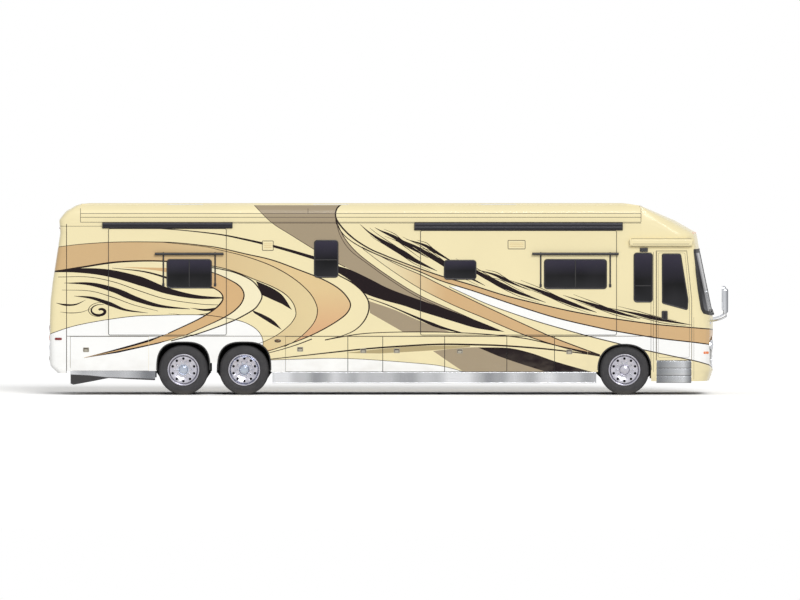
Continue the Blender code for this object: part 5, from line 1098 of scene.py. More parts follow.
def wheel_parts(key, body, centre_x, way, kind, replaced, hub_flat):
    """The rim, disc, nuts, hub, drum and tyre of one wheel, and the inner wheel of a pair."""
    dish_shape, seat, hub_out = kind
    turned_about_axle(f"{key}_rim", body, ("chrome", alloy), RIM_SHELL, centre_x, way, True, 96)
    disc(f"{key}_disc", body, centre_x, dish_shape, way)
    nuts(f"{key}_nuts", body, centre_x, seat, way)
    hub = [(seat - 0.03, 0.112), (seat + 0.006, 0.112)]
    if hub_flat:
        hub += [(seat + 0.012, 0.100), (hub_out - 0.03, 0.088), (hub_out - 0.018, 0.080),
                (hub_out - 0.016, 0.062), (hub_out, 0.058), (hub_out + 0.002, 0.050),
                (hub_out + 0.002, 0.002)]
    else:
        hub += [(seat + 0.012, 0.104), (hub_out - 0.012, 0.098), (hub_out, 0.088), (hub_out + 0.010, 0.066),
                (hub_out + 0.016, 0.040), (hub_out + 0.018, 0.002)]
    drum = [(seat - 0.125, 0.06), (seat - 0.125, 0.245), (seat - 0.055, 0.250), (seat - 0.045, 0.235),
            (seat - 0.045, 0.06)]
    hub_finish = ("chrome", cap_chrome if hub_flat else alloy)
    turned_about_axle(f"{key}_hub", body, hub_finish, hub, centre_x, way, count=48)
    turned_about_axle(f"{key}_drum", body, ("cast_iron", hole_dark), drum, centre_x, way, count=48)
    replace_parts(tyre(f"{key}_tyre", body, centre_x, 1.075, way), *replaced)
    if kind is DISHED_WHEEL:
        tyre(f"{key}_inner_tyre", body, centre_x, 0.725, way)
        turned_about_axle(f"{key}_inner_rim", body, ("black_steel", cast), INNER_RIM, centre_x, way, True, 72)


for way, side in SIDES:
    wheel_parts(f"front_wheel_{side}", f"wheel_front_{side}", AXLES["front"], way, FLAT_WHEEL,
                (f"tyre_front_{side}", f"rim_front_{side}"), False)
    wheel_parts(f"tag_wheel_{side}", f"wheel_tag_{side}", AXLES["tag"], way, FLAT_WHEEL,
                (f"tyre_tag_{side}", f"rim_tag_{side}"), True)
    wheel_parts(f"drive_wheel_{side}", f"twins_{side}", AXLES["drive"], way, DISHED_WHEEL,
                (f"twin_wheels_{side}",), True)

# Cases of the slide-out awnings: extruded dark aluminium covers over the top of each slide-out, with
# a drip lip below and plastic end caps.
CASE_OUT = 1.2955
anodised = plain("dark_anodised", "242329", 0.3, 0.5, grain=120.0)
CASE_SECTION = np.array([(0.0, 0.0), (0.010, -0.006), (0.022, -0.004), (0.034, 0.004), (0.044, 0.018),
                         (0.048, 0.034),
                         (0.0482, 0.060), (0.046, 0.0625), (0.0482, 0.065), (0.048, 0.100), (0.044, 0.118),
                         (0.034, 0.130), (0.016, 0.136), (0.0, 0.136)])


def along_side(name, body, finish, section, stations, low, out, way=-1, scale=None):
    """An extrusion along the coach: a section of (out, up) repeated at each station, each copy drawn
    in to its middle by its scale."""
    s = np.asarray(section, float)
    middle = s.mean(axis=0)
    k = np.ones(len(stations)) if scale is None else np.asarray(scale, float)
    rows = middle + (s - middle) * k[:, None, None]
    grid = np.stack([np.broadcast_to((np.asarray(stations) + REAR_X)[:, None], rows.shape[:2]),
                     way * (out + rows[:, :, 0]), low + rows[:, :, 1]], 2)
    return solid(name, body, finish, grid)


for name, rear, front, low, high in (("awning_rear", 1.098, 3.782, 3.431, 3.556),
                                     ("awning_front", 7.525, 11.820, 3.391, 3.556)):
    section = CASE_SECTION * np.array([1.0, (high - low) / 0.142]) + np.array([0, 0.006])
    case = along_side(f"{name}_case", "coach", ("black_steel", anodised), section,
                      [rear + 0.02, front - 0.02], low, CASE_OUT)
    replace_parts(case, name)
    for k, (a, b) in enumerate(((rear, rear + 0.0195), (front, front - 0.0195))):
        along_side(f"{name}_end_{k + 1}", "coach", ("black_steel", rubber), section, [a, (a + b) / 2, b], low,
                   CASE_OUT, scale=[0.92, 1.0, 1.0])

# Door awning: a capsule-shaped case of painted glass fibre, screwed on above the entry door. A dark
# seam runs all round it, and a slot near its foot lets the cloth out.
AWNING_BOX = (11.954, 13.262, 3.062, 3.219)
AWNING_SLOT_Z = 3.112
capsule = corner_round(*AWNING_BOX, 0.072, 12)
pillow("door_awning_case", "coach", CREAM, capsule, HALF_WIDTH + 0.001, 1.391, 0.04, steps=7)
moulding("door_awning_seam", "coach", SEAM, capsule, half_round(0.012, 0.006), TRIM_FACE)
slot_line = [(AWNING_BOX[0] + 0.07, AWNING_SLOT_Z), (12.6, AWNING_SLOT_Z),
             (AWNING_BOX[1] - 0.07, AWNING_SLOT_Z)]
moulding("door_awning_slot", "coach", SEAM, slot_line, half_round(0.008, 0.003), 1.3905, closed=False)

# Entry door: a framed door with a fixed pane set in rubber, a rubber seal round the opening, a
# painted inner frame line and a black pull handle with a lock.
DOOR_GLASS = [(12.632, 2.905), (12.637, 1.890), (12.702, 1.875), (13.149, 1.755), (13.163, 1.957),
              (13.009, 2.905)]
DOOR_SEAL = [(12.508, 0.716), (12.508, 2.973), (13.137, 2.973), (13.240, 1.971), (13.240, 0.716)]
INNER_LINE = [(12.552, 0.775), (12.552, 2.928), (13.098, 2.928), (13.192, 1.971), (13.192, 0.775)]
door_glass = blunt(DOOR_GLASS, 0.035, 5)
pillow("entry_door_pane", "entry_door", ("dark_glass", pane_look("entry_door_glass", 1.75, 2.92)),
       offset(door_glass, -0.012), 1.3005, 1.3065, 0.004)
moulding("entry_door_gasket", "entry_door", GASKET_BLACK, door_glass,
         [(-0.014, 0), (-0.013, 0.006), (-0.004, 0.0085), (0.006, 0.006), (0.011, 0), (0.011, -0.002)], 1.300)
moulding("entry_door_seal", "coach", ("tyre_rubber", seam_line), DOOR_SEAL[::-1], half_round(0.010, 0.003),
         COAT_FACE, closed=False)
moulding("entry_door_line", "entry_door", SEAM, blunt(INNER_LINE[::-1], 0.03, 5), half_round(0.005, 0.0014),
         TRIM_FACE)
pillow("entry_door_handle_plate", "entry_door", BLACK, corner_round(12.622, 12.745, 1.545, 1.735, 0.022),
       TRIM_FACE, 1.3185, 0.006)
moulding("entry_door_grip", "entry_door", ("black_steel", anodised),
         [(12.684, 1.575), (12.684, 1.64), (12.684, 1.705)], half_round(0.042, 0.016, 9), 1.3180,
         closed=False)

# Porch light: a small black lamp screwed to the wall beside the entry door, behind a smoked lens
# with four level ribs.
PORCH_RIB = half_round(0.014, 0.006)
lens_grey = plain("smoked_lens", "34343A", 0.12, grain=30.0)
pillow("porch_light_base", "coach", BLACK, corner_round(12.171, 12.336, 2.950, 3.032, 0.012), TRIM_FACE,
       1.3200, 0.006)
PORCH_RIB_Z, PORCH_RIB_PITCH = 2.964, 0.018
for k in range(4):
    z = PORCH_RIB_Z + PORCH_RIB_PITCH * k
    moulding(f"porch_light_rib_{k + 1}", "coach", ("dark_glass", lens_grey),
             [(12.187, z), (12.253, z), (12.320, z)], PORCH_RIB, 1.3198, closed=False)

# Vents and hatches: framed cream covers with three slats, one in the wall for the furnace and one in
# the front slide-out for the fridge.
VENTS = [("vent_rear", "coach", 1.2958, (4.394, 4.621, 2.977, 3.174)),
         ("vent_front", "slide_front_right", 1.3079, (9.455, 9.809, 3.008, 3.185))]
for name, body, wall, box in VENTS:
    outline = corner_round(*box, 0.016, 5)
    moulding(f"{name}_frame", body, ("cream_paint", seam_line), outline, half_round(0.012, 0.005), wall)
    pillow(f"{name}_cover", body, CREAM, offset(outline, -0.012), wall, wall + 0.006, 0.003)
    for k in range(3):
        z = box[2] + (box[3] - box[2]) * (0.3 + 0.2 * k)
        slat = [(box[0] + 0.035, z), ((box[0] + box[1]) / 2, z), (box[1] - 0.035, z)]
        moulding(f"{name}_slat_{k + 1}", body, ("cream_paint", looks["sand"]), slat, half_round(0.012, 0.004),
                 wall + 0.0058, closed=False)

# Latches: flush stainless paddles in the bay doors, each set in a pocketed plate with a raised rim.
# They sit near the foot of the doors, and the rear doors have one too.
LATCHES = [((86, 349.8), "rear_door_right"), ((300.1, 349.3), "bay_door_right_1"),
           ((363.3, 350.8), "bay_door_right_2"), ((396.8, 350.8), "bay_door_right_3"),
           ((459.8, 351.2), "bay_door_right_4"), ((569.3, 351.9), "bay_door_right_6"),
           ((86, 349.8), "rear_door_left"), ((300.1, 349.3), "bay_door_left_1"),
           ((459.8, 351.2), "bay_door_left_2")]
LATCH_HALF = (0.062, 0.048)
POCKET_FACE = HALF_WIDTH + 0.0018
for mark, body in LATCHES:
    way = 1 if "left" in body else -1
    x, z = square([mark])[0]
    plate = corner_round(x - LATCH_HALF[0], x + LATCH_HALF[0], z - LATCH_HALF[1], z + LATCH_HALF[1], 0.014, 5)
    paddle = corner_round(x - 0.040, x + 0.040, z - 0.032, z + 0.012, 0.010, 5)
    moulding(f"{body}_latch_rim", body, SATIN, offset(plate, -0.007), half_round(0.014, 0.006), TRIM_FACE,
             way)
    pillow(f"{body}_latch_pocket", body, SEAM, offset(plate, -0.012), COAT_FACE, POCKET_FACE, 0.0005, way)
    pillow(f"{body}_latch_paddle", body, SATIN, paddle, POCKET_FACE, HALF_WIDTH + 0.0055, 0.003, way)

# Stainless: brushed sheet riveted along the sills between the wheels, with a bead along each edge.
# Its colour has broad upright light and dark bands painted in: a painted reflection of the room.
STEEL_PAINTED_SHADE_AND_LINES, STEEL_PAINTED_HIGHLIGHT = linear("7C7E82"), linear("E4E5E8")


def brushed_with_painted_reflections(name, across):
    """Brushed steel: fine lines along the strip, and light and dark bands across it, painted reflections of the
    room.
    """
    made, tree, body = shader(name, 0.24, 1.0)
    # Painted reflection: upright bands that go from dark to light across the steel.
    bands = noise_at(tree, across, 1.5, (1, 0, 0))
    tone = blend_colours(tree, ramp(tree, bands.outputs["Fac"], 0.34, 0.62), STEEL_PAINTED_SHADE_AND_LINES, STEEL_PAINTED_HIGHLIGHT)
    fine = noise_at(tree, 40.0, 2.0, (0.05, 1, 8))
    mixed = blend_colours(tree, ramp(tree, fine.outputs["Fac"], 0.2, 2.2), tone, STEEL_PAINTED_SHADE_AND_LINES)
    dress(tree, body, mixed, fine, 0.0004, 0.25)
    return made


stainless = brushed_with_painted_reflections("brushed_stainless", 1.1)
step_steel = brushed_with_painted_reflections("step_stainless", 3.2)
TRIM = (4.601, 11.275, 0.241, 0.474)
for way, side in SIDES:
    for k, z in enumerate((TRIM[3] - 0.010, TRIM[2] + 0.010)):
        edge = [(TRIM[0] + 0.01, z), (8.0, z), (TRIM[1] - 0.01, z)]
        moulding(f"sill_bead_{side}_{k + 1}", "coach", BRIGHT, edge, half_round(0.016, 0.005),
                 HALF_WIDTH + 0.0003, way, closed=False)

# Rear skirts: a stainless band behind the rear wheels, over a black rubber valance that hangs lower
# at the rear.
VALANCE = [(0.447, 0.236), (0.503, 0.214), (0.9, 0.284), (1.2245, 0.352), (1.7, 0.326), (2.18, 0.308),
           (2.18, 0.332), (1.7, 0.352), (1.2, 0.366), (0.85, 0.404), (0.447, 0.424)]
for way, side in SIDES:
    pillow(f"rear_valance_{side}", "coach", BLACK, np.array(VALANCE), HALF_WIDTH + 0.0005,
           HALF_WIDTH + 0.006, 0.003, way)

# Wheel wells: black plastic liners, moulded in one piece with their backs behind the tyres, and a rubber lip
# pressed on round each arch. The backs reach down below the body to their feet: a near-black sheet put where
# there is only the shade under the coach, painted shade.
WELL_WALL = 0.535
ARCHES = [(2.767, 1.092, 2.9), (4.021, 1.092, 2.9), (11.855, 1.045, 2.3)]
ARCH_HALF, ARCH_FOOT = 0.55, 0.515
ARCH_LIP = [(-0.016, -0.02), (-0.016, 0.003), (-0.008, 0.007), (0.008, 0.005), (0.010, -0.001)]
WELL_SHADE_FEET = [(-0.49, 0.34), (-0.38, 0.20), (0.38, 0.20), (0.49, 0.34)]
liner = plain("liner_plastic", "121213", 0.8, grain=60.0, depth=0.001)


def arch_line(station, top, power, grow=0.0, foot=ARCH_FOOT):
    """The edge of an arch from front to rear: x = a |cos|^(2/p), z = foot + b |sin|^(2/p)."""
    t = np.linspace(0, math.pi, 28)
    x = (ARCH_HALF + grow) * np.sign(np.cos(t)) * np.abs(np.cos(t)) ** (2 / power)
    z = foot + (top + grow - foot) * np.abs(np.sin(t)) ** (2 / power)
    return np.stack([station + x, z], 1)


for way, side in SIDES:
    for k, (station, top, power) in enumerate(ARCHES):
        moulding(f"arch_lip_{side}_{k + 1}", "coach", RUBBER, arch_line(station, top, power), ARCH_LIP,
                 COAT_FACE, way, closed=False)
        well_top = arch_line(station, top, power, 0.012 if k < 2 else 0.050, 0.45)
        # Each back is the liner's wall in the well and, below the body, painted shade behind the tyres.
        back = np.vstack([well_top, [(station + x, z) for x, z in WELL_SHADE_FEET]])
        pillow(f"well_shade_back_{side}_{k + 1}", "coach", ("black_steel", liner), back, WELL_WALL - 0.01,
               WELL_WALL, 0.004, way)
        inner, outer = well_top, offset(well_top, 0.006, False)
        shell = [to_side(line, out, way)
                 for line, out in ((inner, 1.27), (outer, 1.27), (outer, WELL_WALL), (inner, WELL_WALL))]
        solid(f"well_liner_{side}_{k + 1}", "coach", ("black_steel", liner), np.stack(shell, 1))

# Caps' small parts: lenses and lines that lie on the round corners. A place on a cap is given by its
# unrolled station and height, and found on the cap's own triangles.


def nearest_shares(flat, places):
    """For each place, the flat triangle that holds it, and the shares of its corners there."""
    p = np.asarray(places, float).reshape(-1, 1, 2)
    a, b, c = (flat[None, :, k] for k in range(3))
    whole = turn_area(a, b, c)
    whole = np.where(np.abs(whole) < 1e-9, 1e9, whole)
    v, w = turn_area(a, p, c) / whole, turn_area(a, b, p) / whole
    best = np.minimum(np.minimum(v, w), 1 - v - w).argmax(axis=1)
    rows = np.arange(len(best))
    v, w = v[rows, best], w[rows, best]
    return best, np.stack([1 - v - w, v, w], 1)


def on_cap(points, out, node, way):
    """Points of a cap from unrolled stations and heights, each moved out along its triangle's normal."""
    triangles, normals, flat = CAP_SHEETS[node, way]
    best, shares = nearest_shares(flat, points)
    return np.einsum("ij,ijk->ik", shares, triangles[best]) + normals[best] * out


def cap_lens(name, node, look, outline, way):
    """A lens on a cap: rings of its outline, each closer in and further out than the last."""
    rings = rounded_rings(outline, 0.0, 0.012, 0.008)
    grid = np.stack([on_cap(ring, out, node, way) for ring, out in rings], 0)
    return solid(name, "coach", ("dark_glass", look), grid)


CAP_SEAM_X = 13.285
CAP_SEAM = [(0.003, 0.0), (0.0018, 0.002), (-0.0018, 0.002), (-0.003, 0.0), (0.0, -0.001)]
amber = plain("amber_lens", "F0803A", 0.12, coat=0.5, grain=30.0)
red_lens = plain("red_lens", "7E1416", 0.12, coat=0.5, grain=30.0)
clear_lens = plain("clear_lens", "DDE3EA", 0.05, coat=0.8, grain=20.0)
for way, side in SIDES:
    cap_lens(f"front_marker_{side}", "front_cap", amber, corner_round(13.503, 13.665, 0.842, 0.894, 0.024, 5),
             way)
    cap_lens(f"rear_marker_{side}", "rear_cap", red_lens, corner_round(0.117, 0.266, 1.130, 1.182, 0.024, 5),
             way)
    line = np.stack([np.full(24, CAP_SEAM_X), np.linspace(0.32, 1.60, 24)], 1)
    rows = [on_cap(offset(line, across, False), proud, "front_cap", way) for across, proud in CAP_SEAM]
    solid(f"cap_seam_{side}_1", "coach", SEAM, np.stack(rows, 1))

# Oval lamp: a small side marker above the first bay door, its amber-brown lens pushed into a ring of
# black rubber.
OVAL_AT, OVAL_HALF = (4.711, 1.114), (0.062, 0.027)
angles = circle_angles(28)
oval = np.stack([OVAL_AT[0] + OVAL_HALF[0] * np.cos(angles), OVAL_AT[1] + OVAL_HALF[1] * np.sin(angles)], 1)
for way, side in SIDES:
    oval_lens = ("dark_glass", plain(f"side_lamp_lens_{side}", "6B4A22", 0.12, coat=0.5))
    pillow(f"side_lamp_{side}", "coach", oval_lens, offset(oval, -0.006), TRIM_FACE, HALF_WIDTH + 0.010,
           0.007, way)
    moulding(f"side_lamp_ring_{side}", "coach", RUBBER, oval, half_round(0.014, 0.007), TRIM_FACE, way)

# Step panel: three bulged bands of polished stainless sheet below the entry door, lapped one over the
# next, with a dark joint between them.
STEP_FROM, STEP_TO = 12.517, 13.231
STEP_Z, STEP_PITCH, STEP_DEEP = 0.249, 0.1515, 0.020
step_shine, tree, body_shader = shader("step_mirror_steel", 0.22, 1.0)
# The steel is painted lighter towards the front of the panel and darker again at its front end: a painted
# reflection.
painted_sheen_ramp = blend_colours(tree, axis_share(tree, "X", 5.60, 6.06), linear("7C7E81"), linear("C6C8CB"))
painted_sheen_falloff = blend_colours(tree, axis_share(tree, "X", 6.08, 6.24), painted_sheen_ramp, linear("626468"))
dress(tree, body_shader, painted_sheen_falloff, noise_at(tree, 40.0, 2.0, (0.05, 1, 8)), 0.0004, 0.2)
section = blunt([(-STEP_DEEP, 0.005), (0.0015, 0.005), (0.0015, STEP_PITCH - 0.005),
                 (-STEP_DEEP, STEP_PITCH - 0.005)], 0.004, 4)
for k in range(3):
    along_side(f"step_band_{k + 1}", "coach", ("stainless", step_shine), section, [STEP_FROM, STEP_TO],
               STEP_Z + STEP_PITCH * k, HALF_WIDTH)
along_side("step_joint", "coach", BLACK,
           [(-STEP_DEEP, 0.0), (-0.002, 0.0), (-0.002, STEP_PITCH * 3), (-STEP_DEEP, STEP_PITCH * 3)],
           [STEP_FROM + 0.001, STEP_TO - 0.001], STEP_Z, HALF_WIDTH)

# Ends: the fascia and the engine door are painted with the caps round them. Their parts are set out
# by height and by place across, on the faces of the CAD that look forward or back.
for way, side in SIDES:
    round_coat("front_fascia", "coach", NOSE_ROUND, 1, way, side)
for way, side in SIDES:
    round_coat("engine_door", "engine_door", TAIL_ROUND, -1, way, side)
END_FACING = 0.2
END_FACES = {}


def on_end(node, places, out=0.0, ahead=1):
    """Points on an end face from (across, height): each lies in one triangle seen from that end, its
    x mixed from the corners' by the same shares, and it is moved out along x."""
    if node not in END_FACES:
        triangles, normals = node_triangles(node)
        END_FACES[node] = triangles[normals[:, 0] * ahead > END_FACING]
    t = END_FACES[node]
    flat = np.asarray(places, float).reshape(-1, 2)
    best, shares = nearest_shares(t[:, :, 1:], flat)
    x = (shares * t[best, :, 0]).sum(axis=1)
    return np.column_stack([x + ahead * out, flat])


def end_strip(name, body, finish, node, path, section, ahead=1, closed=False):
    """A strip along a path on an end face: its section is (across the path, proud of the face)."""
    rows = [on_end(node, offset(path, across, closed), proud, ahead) for across, proud in section]
    return solid(name, body, finish, np.stack(rows, 1), closed)


def end_plate(name, body, finish, outline, x, proud, edge, ahead=1, steps=4):
    """A raised plate that faces forward or back."""
    rings = rounded_rings(outline, 0.0, proud, edge, steps)
    grid = np.stack([np.column_stack([np.full(len(ring), x + ahead * out), ring]) for ring, out in rings], 0)
    return solid(name, body, finish, grid)


def end_turned(name, body, finish, profile, centre, x, ahead=1, count=48, row_loop=False):
    """A turned part about a line along x: each (out, radius) of its profile makes a circle."""
    p = np.asarray(profile, float)
    a = circle_angles(count)
    grid = np.stack([np.broadcast_to((x + ahead * p[:, 0])[:, None], (len(p), count)),
                     centre[0] + p[:, 1:] * np.cos(a), centre[1] + p[:, 1:] * np.sin(a)], 2)
    return solid(name, body, finish, grid, row_loop)


def level_line(half, z):
    """A level line across an end, from side to side."""
    return np.column_stack([np.linspace(-half, half, 25), np.full(25, z)])


def line_between(start, end, count):
    """Evenly spaced points from one to another."""
    return np.column_stack([np.linspace(a, b, count) for a, b in zip(start, end)])

# Grille: a moulded honeycomb of black plastic clipped in behind five slots of the fascia, each with
# a chromed bar along its lower lip, in a chromed frame.
GRILLE_HALF, GRILLE_Z, GRILLE_PITCH = 0.56, 0.600, 0.095
GRILLE_BOX, GRILLE_BACK_X = (-0.60, 0.60, 0.575, 1.075), 6.628
mesh_black, tree, body_shader = shader("grille_mesh", 0.5)
cells = add_node(tree, "ShaderNodeTexVoronoi", feature="DISTANCE_TO_EDGE")
cells.inputs["Scale"].default_value = 60.0
cells.inputs["Randomness"].default_value = 0.0
tree.links.new(object_place(tree), cells.inputs["Vector"])
# The honeycomb is painted on a flat plate: each cell's middle is near-black, painted shade of its open hole,
# and its rim keeps the dark grey of the plastic.
rib = ramp(tree, cells.outputs["Distance"], 0.05, 0.12)
tone = blend_colours(tree, rib, linear("3C3C3E"), linear("050506"))
tree.links.new(tone, body_shader.inputs["Base Color"])
end_plate("grille_mesh", "coach", ("black_steel", mesh_black),
          corner_round(*GRILLE_BOX, 0.02, 4), GRILLE_BACK_X, 0.006, 0.002)
for k in range(5):
    end_strip(f"grille_bar_{k + 1}", "coach", CHROME, "front_fascia",
              level_line(GRILLE_HALF - 0.004, GRILLE_Z + GRILLE_PITCH * k - 0.012), half_round(0.020, 0.008))
frame_line = corner_round(-0.60, 0.60, 0.560, 1.066, 0.05, 8)
end_strip("grille_frame", "coach", CHROME, "front_fascia", frame_line, half_round(0.022, 0.009), closed=True)

# Headlamps: two round lamps a side, each a chromed reflector bowl and ring under a clear domed lens,
# and a smaller fog lamp below them. They are screwed to the fascia from behind.
LAMPS = [(0.704, 6.678), (0.924, 6.661)]
LAMP_Z = 1.02
FOG_AT = (0.80, 0.70)
LAMP_RING = [(-0.030, 0.104), (0.002, 0.103), (0.010, 0.099), (0.014, 0.092), (0.012, 0.085), (-0.002, 0.078),
             (-0.030, 0.078)]
LAMP_LENS = [(-0.004, 0.083), (0.004, 0.080), (0.009, 0.066), (0.014, 0.044), (0.017, 0.020), (0.018, 0.001)]
LAMP_BULB = [(0.012, 0.020), (0.0185, 0.017), (0.0215, 0.010), (0.0225, 0.001)]
FOG_RING = [(-0.010, 0.070), (0.006, 0.069), (0.010, 0.064), (0.007, 0.056), (-0.010, 0.055)]
FOG_LENS = [(-0.006, 0.058), (0.003, 0.056), (0.008, 0.040), (0.010, 0.001)]
reflector = plain("lamp_reflector", "B9BCC2", 0.12, 1.0, grain=30.0)
lens_look, tree, body_shader = shader("lamp_lens", 0.05, gloss=0.6)
flutes = add_node(tree, "ShaderNodeTexWave", bands_direction="Y")
flutes.inputs["Scale"].default_value = 18.0
tree.links.new(object_place(tree), flutes.inputs["Vector"])
tone = blend_colours(tree, flutes.outputs["Fac"], linear("AEB6C0"), linear("E3E8EE"))
dress(tree, body_shader, tone, flutes, 0.002, 0.5)
LENS = ("dark_glass", lens_look)
for way, side in SIDES:
    for k, (y, x) in enumerate(LAMPS):
        at_lamp = (way * y, LAMP_Z)
        end_turned(f"headlamp_ring_{side}_{k + 1}", "coach", CHROME, LAMP_RING, at_lamp, x, row_loop=True)
        end_turned(f"headlamp_lens_{side}_{k + 1}", "coach", LENS, LAMP_LENS, at_lamp, x)
        end_turned(f"headlamp_bulb_{side}_{k + 1}", "coach", ("chrome", reflector), LAMP_BULB, at_lamp, x,
                   count=24)
    fog_at = (way * FOG_AT[0], FOG_AT[1])
    fog_x = on_end("front_fascia", [fog_at])[0, 0]
    end_turned(f"fog_lamp_ring_{side}", "coach", CHROME, FOG_RING, fog_at, fog_x, row_loop=True)
    end_turned(f"fog_lamp_lens_{side}", "coach", LENS, FOG_LENS, fog_at, fog_x)

# Windshield: one curved tinted pane held by a wide black rubber moulding, with a slim post in the
# middle and two wipers that park along its foot.
RIM_POINTS = 520
WIPER_PIVOT = (0.10, 1.650)


def edge_of(node):
    """The edge of a node's outer skin, evenly spaced round it, and the skin's normals there: the
    points of edges that one triangle alone uses, in order of their angle round the middle."""
    triangles, normals = node_triangles(node)
    outer = normals[:, 0] > END_FACING
    corners = np.round(triangles[outer], 4)
    points, index = np.unique(corners.reshape(-1, 3), axis=0, return_inverse=True)
    index = index.reshape(-1, 3)
    pairs = np.sort(np.vstack([index[:, [0, 1]], index[:, [1, 2]], index[:, [2, 0]]]), axis=1)
    sides, uses = np.unique(pairs, axis=0, return_counts=True)
    rim = np.unique(sides[uses == 1])
    facing = np.zeros_like(points)
    np.add.at(facing, index.ravel(), np.repeat(normals[outer], 3, axis=0))
    p, n = points[rim], facing[rim]
    middle = (p.max(0) + p.min(0)) / 2
    reach = np.ptp(p, axis=0)
    turn = np.argsort(np.arctan2((p[:, 2] - middle[2]) / reach[2], (p[:, 1] - middle[1]) / reach[1]))
    p, n = np.vstack([p[turn], p[turn[:1]]]), np.vstack([n[turn], n[turn[:1]]])
    length = np.concatenate([[0], np.cumsum(np.linalg.norm(np.diff(p, axis=0), axis=1))])
    even = np.linspace(0, length[-1], RIM_POINTS, endpoint=False)
    place = np.stack([np.interp(even, length, p[:, k]) for k in range(3)], 1)
    facing = np.stack([np.interp(even, length, n[:, k]) for k in range(3)], 1)
    return place, facing / np.linalg.norm(facing, axis=1)[:, None]


rim, rim_way = edge_of("windshield")
run = np.roll(rim, -1, axis=0) - np.roll(rim, 1, axis=0)
run /= np.linalg.norm(run, axis=1)[:, None]
outward = np.cross(run, rim_way)
outward *= np.sign(np.einsum("ij,ij->i", outward, rim - rim.mean(axis=0)).sum())
RIM_SECTION = [(0.020, 0.000), (0.016, 0.009), (0.004, 0.014), (-0.014, 0.013), (-0.030, 0.006),
               (-0.062, 0.005), (-0.066, 0.001), (-0.030, -0.004), (0.010, -0.004)]
grid = np.stack([rim + outward * across + rim_way * proud for across, proud in RIM_SECTION], 1)
solid("windshield_moulding", "coach", RUBBER, grid, row_loop=True)
end_strip("windshield_post", "coach", RUBBER, "windshield", line_between((0, 1.655), (0, 2.970), 16),
          half_round(0.030, 0.010))
for way, side in SIDES:
    pivot = (way * WIPER_PIVOT[0], WIPER_PIVOT[1])
    t = np.linspace(0, math.pi, 20)
    blade = np.column_stack([way * np.linspace(0.16, 0.98, 20), 1.705 + 0.05 * np.sin(t)])
    end_strip(f"wiper_blade_{side}", "coach", BLACK, "windshield", blade,
              [(-0.010, 0.004), (-0.003, 0.026), (0.003, 0.026), (0.010, 0.004)])
    end_strip(f"wiper_arm_{side}", "coach", BLACK, "windshield", line_between(pivot, (way * 0.56, 1.748), 12),
              [(-0.011, 0.026), (-0.008, 0.040), (0.008, 0.040), (0.011, 0.026)])
    end_turned(f"wiper_pivot_{side}", "coach", BLACK,
               [(-0.004, 0.026), (0.030, 0.024), (0.040, 0.018), (0.043, 0.004)],
               pivot, on_end("windshield", [pivot])[0, 0], count=24)

# Corner fillers: painted upright strips of folded sheet. They close each wall's front end to the
# round corner of the front cap.
FILLER_Y, FILLER_Z = (0.960, 1.2945), (1.90, 3.2195)
FILLER_X, FILLER_T = 6.262, 0.0092
for way, side in SIDES:
    outline = corner_round(*sorted(way * y for y in FILLER_Y), *FILLER_Z, 0.004, 3)
    end_plate(f"corner_filler_{side}", "coach", CREAM, outline, FILLER_X, FILLER_T, 0.001)

# Mirrors: a chromed shell on a bent tube arm from each front corner, with a flat glass over a small
# round-cornered wide-angle one, both facing back.
mirror_shell, tree, body_shader = shader("mirror_chrome", 0.12, 1.0)
# The shell is painted light at its back and darker towards its front: a painted reflection on the chrome.
painted_sheen_ramp = blend_colours(tree, axis_share(tree, "X", 6.925, 6.985), linear("CFD1D5"), linear("7B7D82"))
dress(tree, body_shader, painted_sheen_ramp, noise_at(tree, 20.0, 2.0), 0.0002, 0.1)
mirror_glass = plain("mirror_silvering", "9AA3AC", 0.03, 1.0, grain=8.0, depth=0.0001, worn=0.03)
MIRROR_X, MIRROR_DEEP = 6.9105, 0.084
MIRROR_Y, MIRROR_Z = (1.2005, 1.4495), (1.6855, 2.1995)
MIRROR_PANES = (("flat", 1.850, 2.184), ("wide", 1.701, 1.836))
ARM_Z = 1.510
ARM_END = (6.9525, 1.2833)
ARM_FOOT = [(-0.010, 0.058), (0.010, 0.056), (0.018, 0.048), (0.022, 0.030), (0.022, 0.001)]


def tube(name, body, finish, path, radius, count=16):
    """A round bar along a path in space: each ring is p + r cos a s + r sin a u, where s and u are
    square to the path there."""
    path = np.asarray(path, float)
    run = np.gradient(path, axis=0)
    run /= np.linalg.norm(run, axis=1)[:, None]
    s = np.cross(run, (0.0, 0.0, 1.0))
    s = np.where(np.linalg.norm(s, axis=1)[:, None] < 0.05, (1.0, 0.0, 0.0), s)
    s /= np.linalg.norm(s, axis=1)[:, None]
    u = np.cross(s, run)
    a = circle_angles(count)[None, :, None]
    r = np.broadcast_to(radius, len(path))[:, None, None]
    grid = path[:, None] + r * (np.cos(a) * s[:, None] + np.sin(a) * u[:, None])
    return solid(name, body, finish, grid)


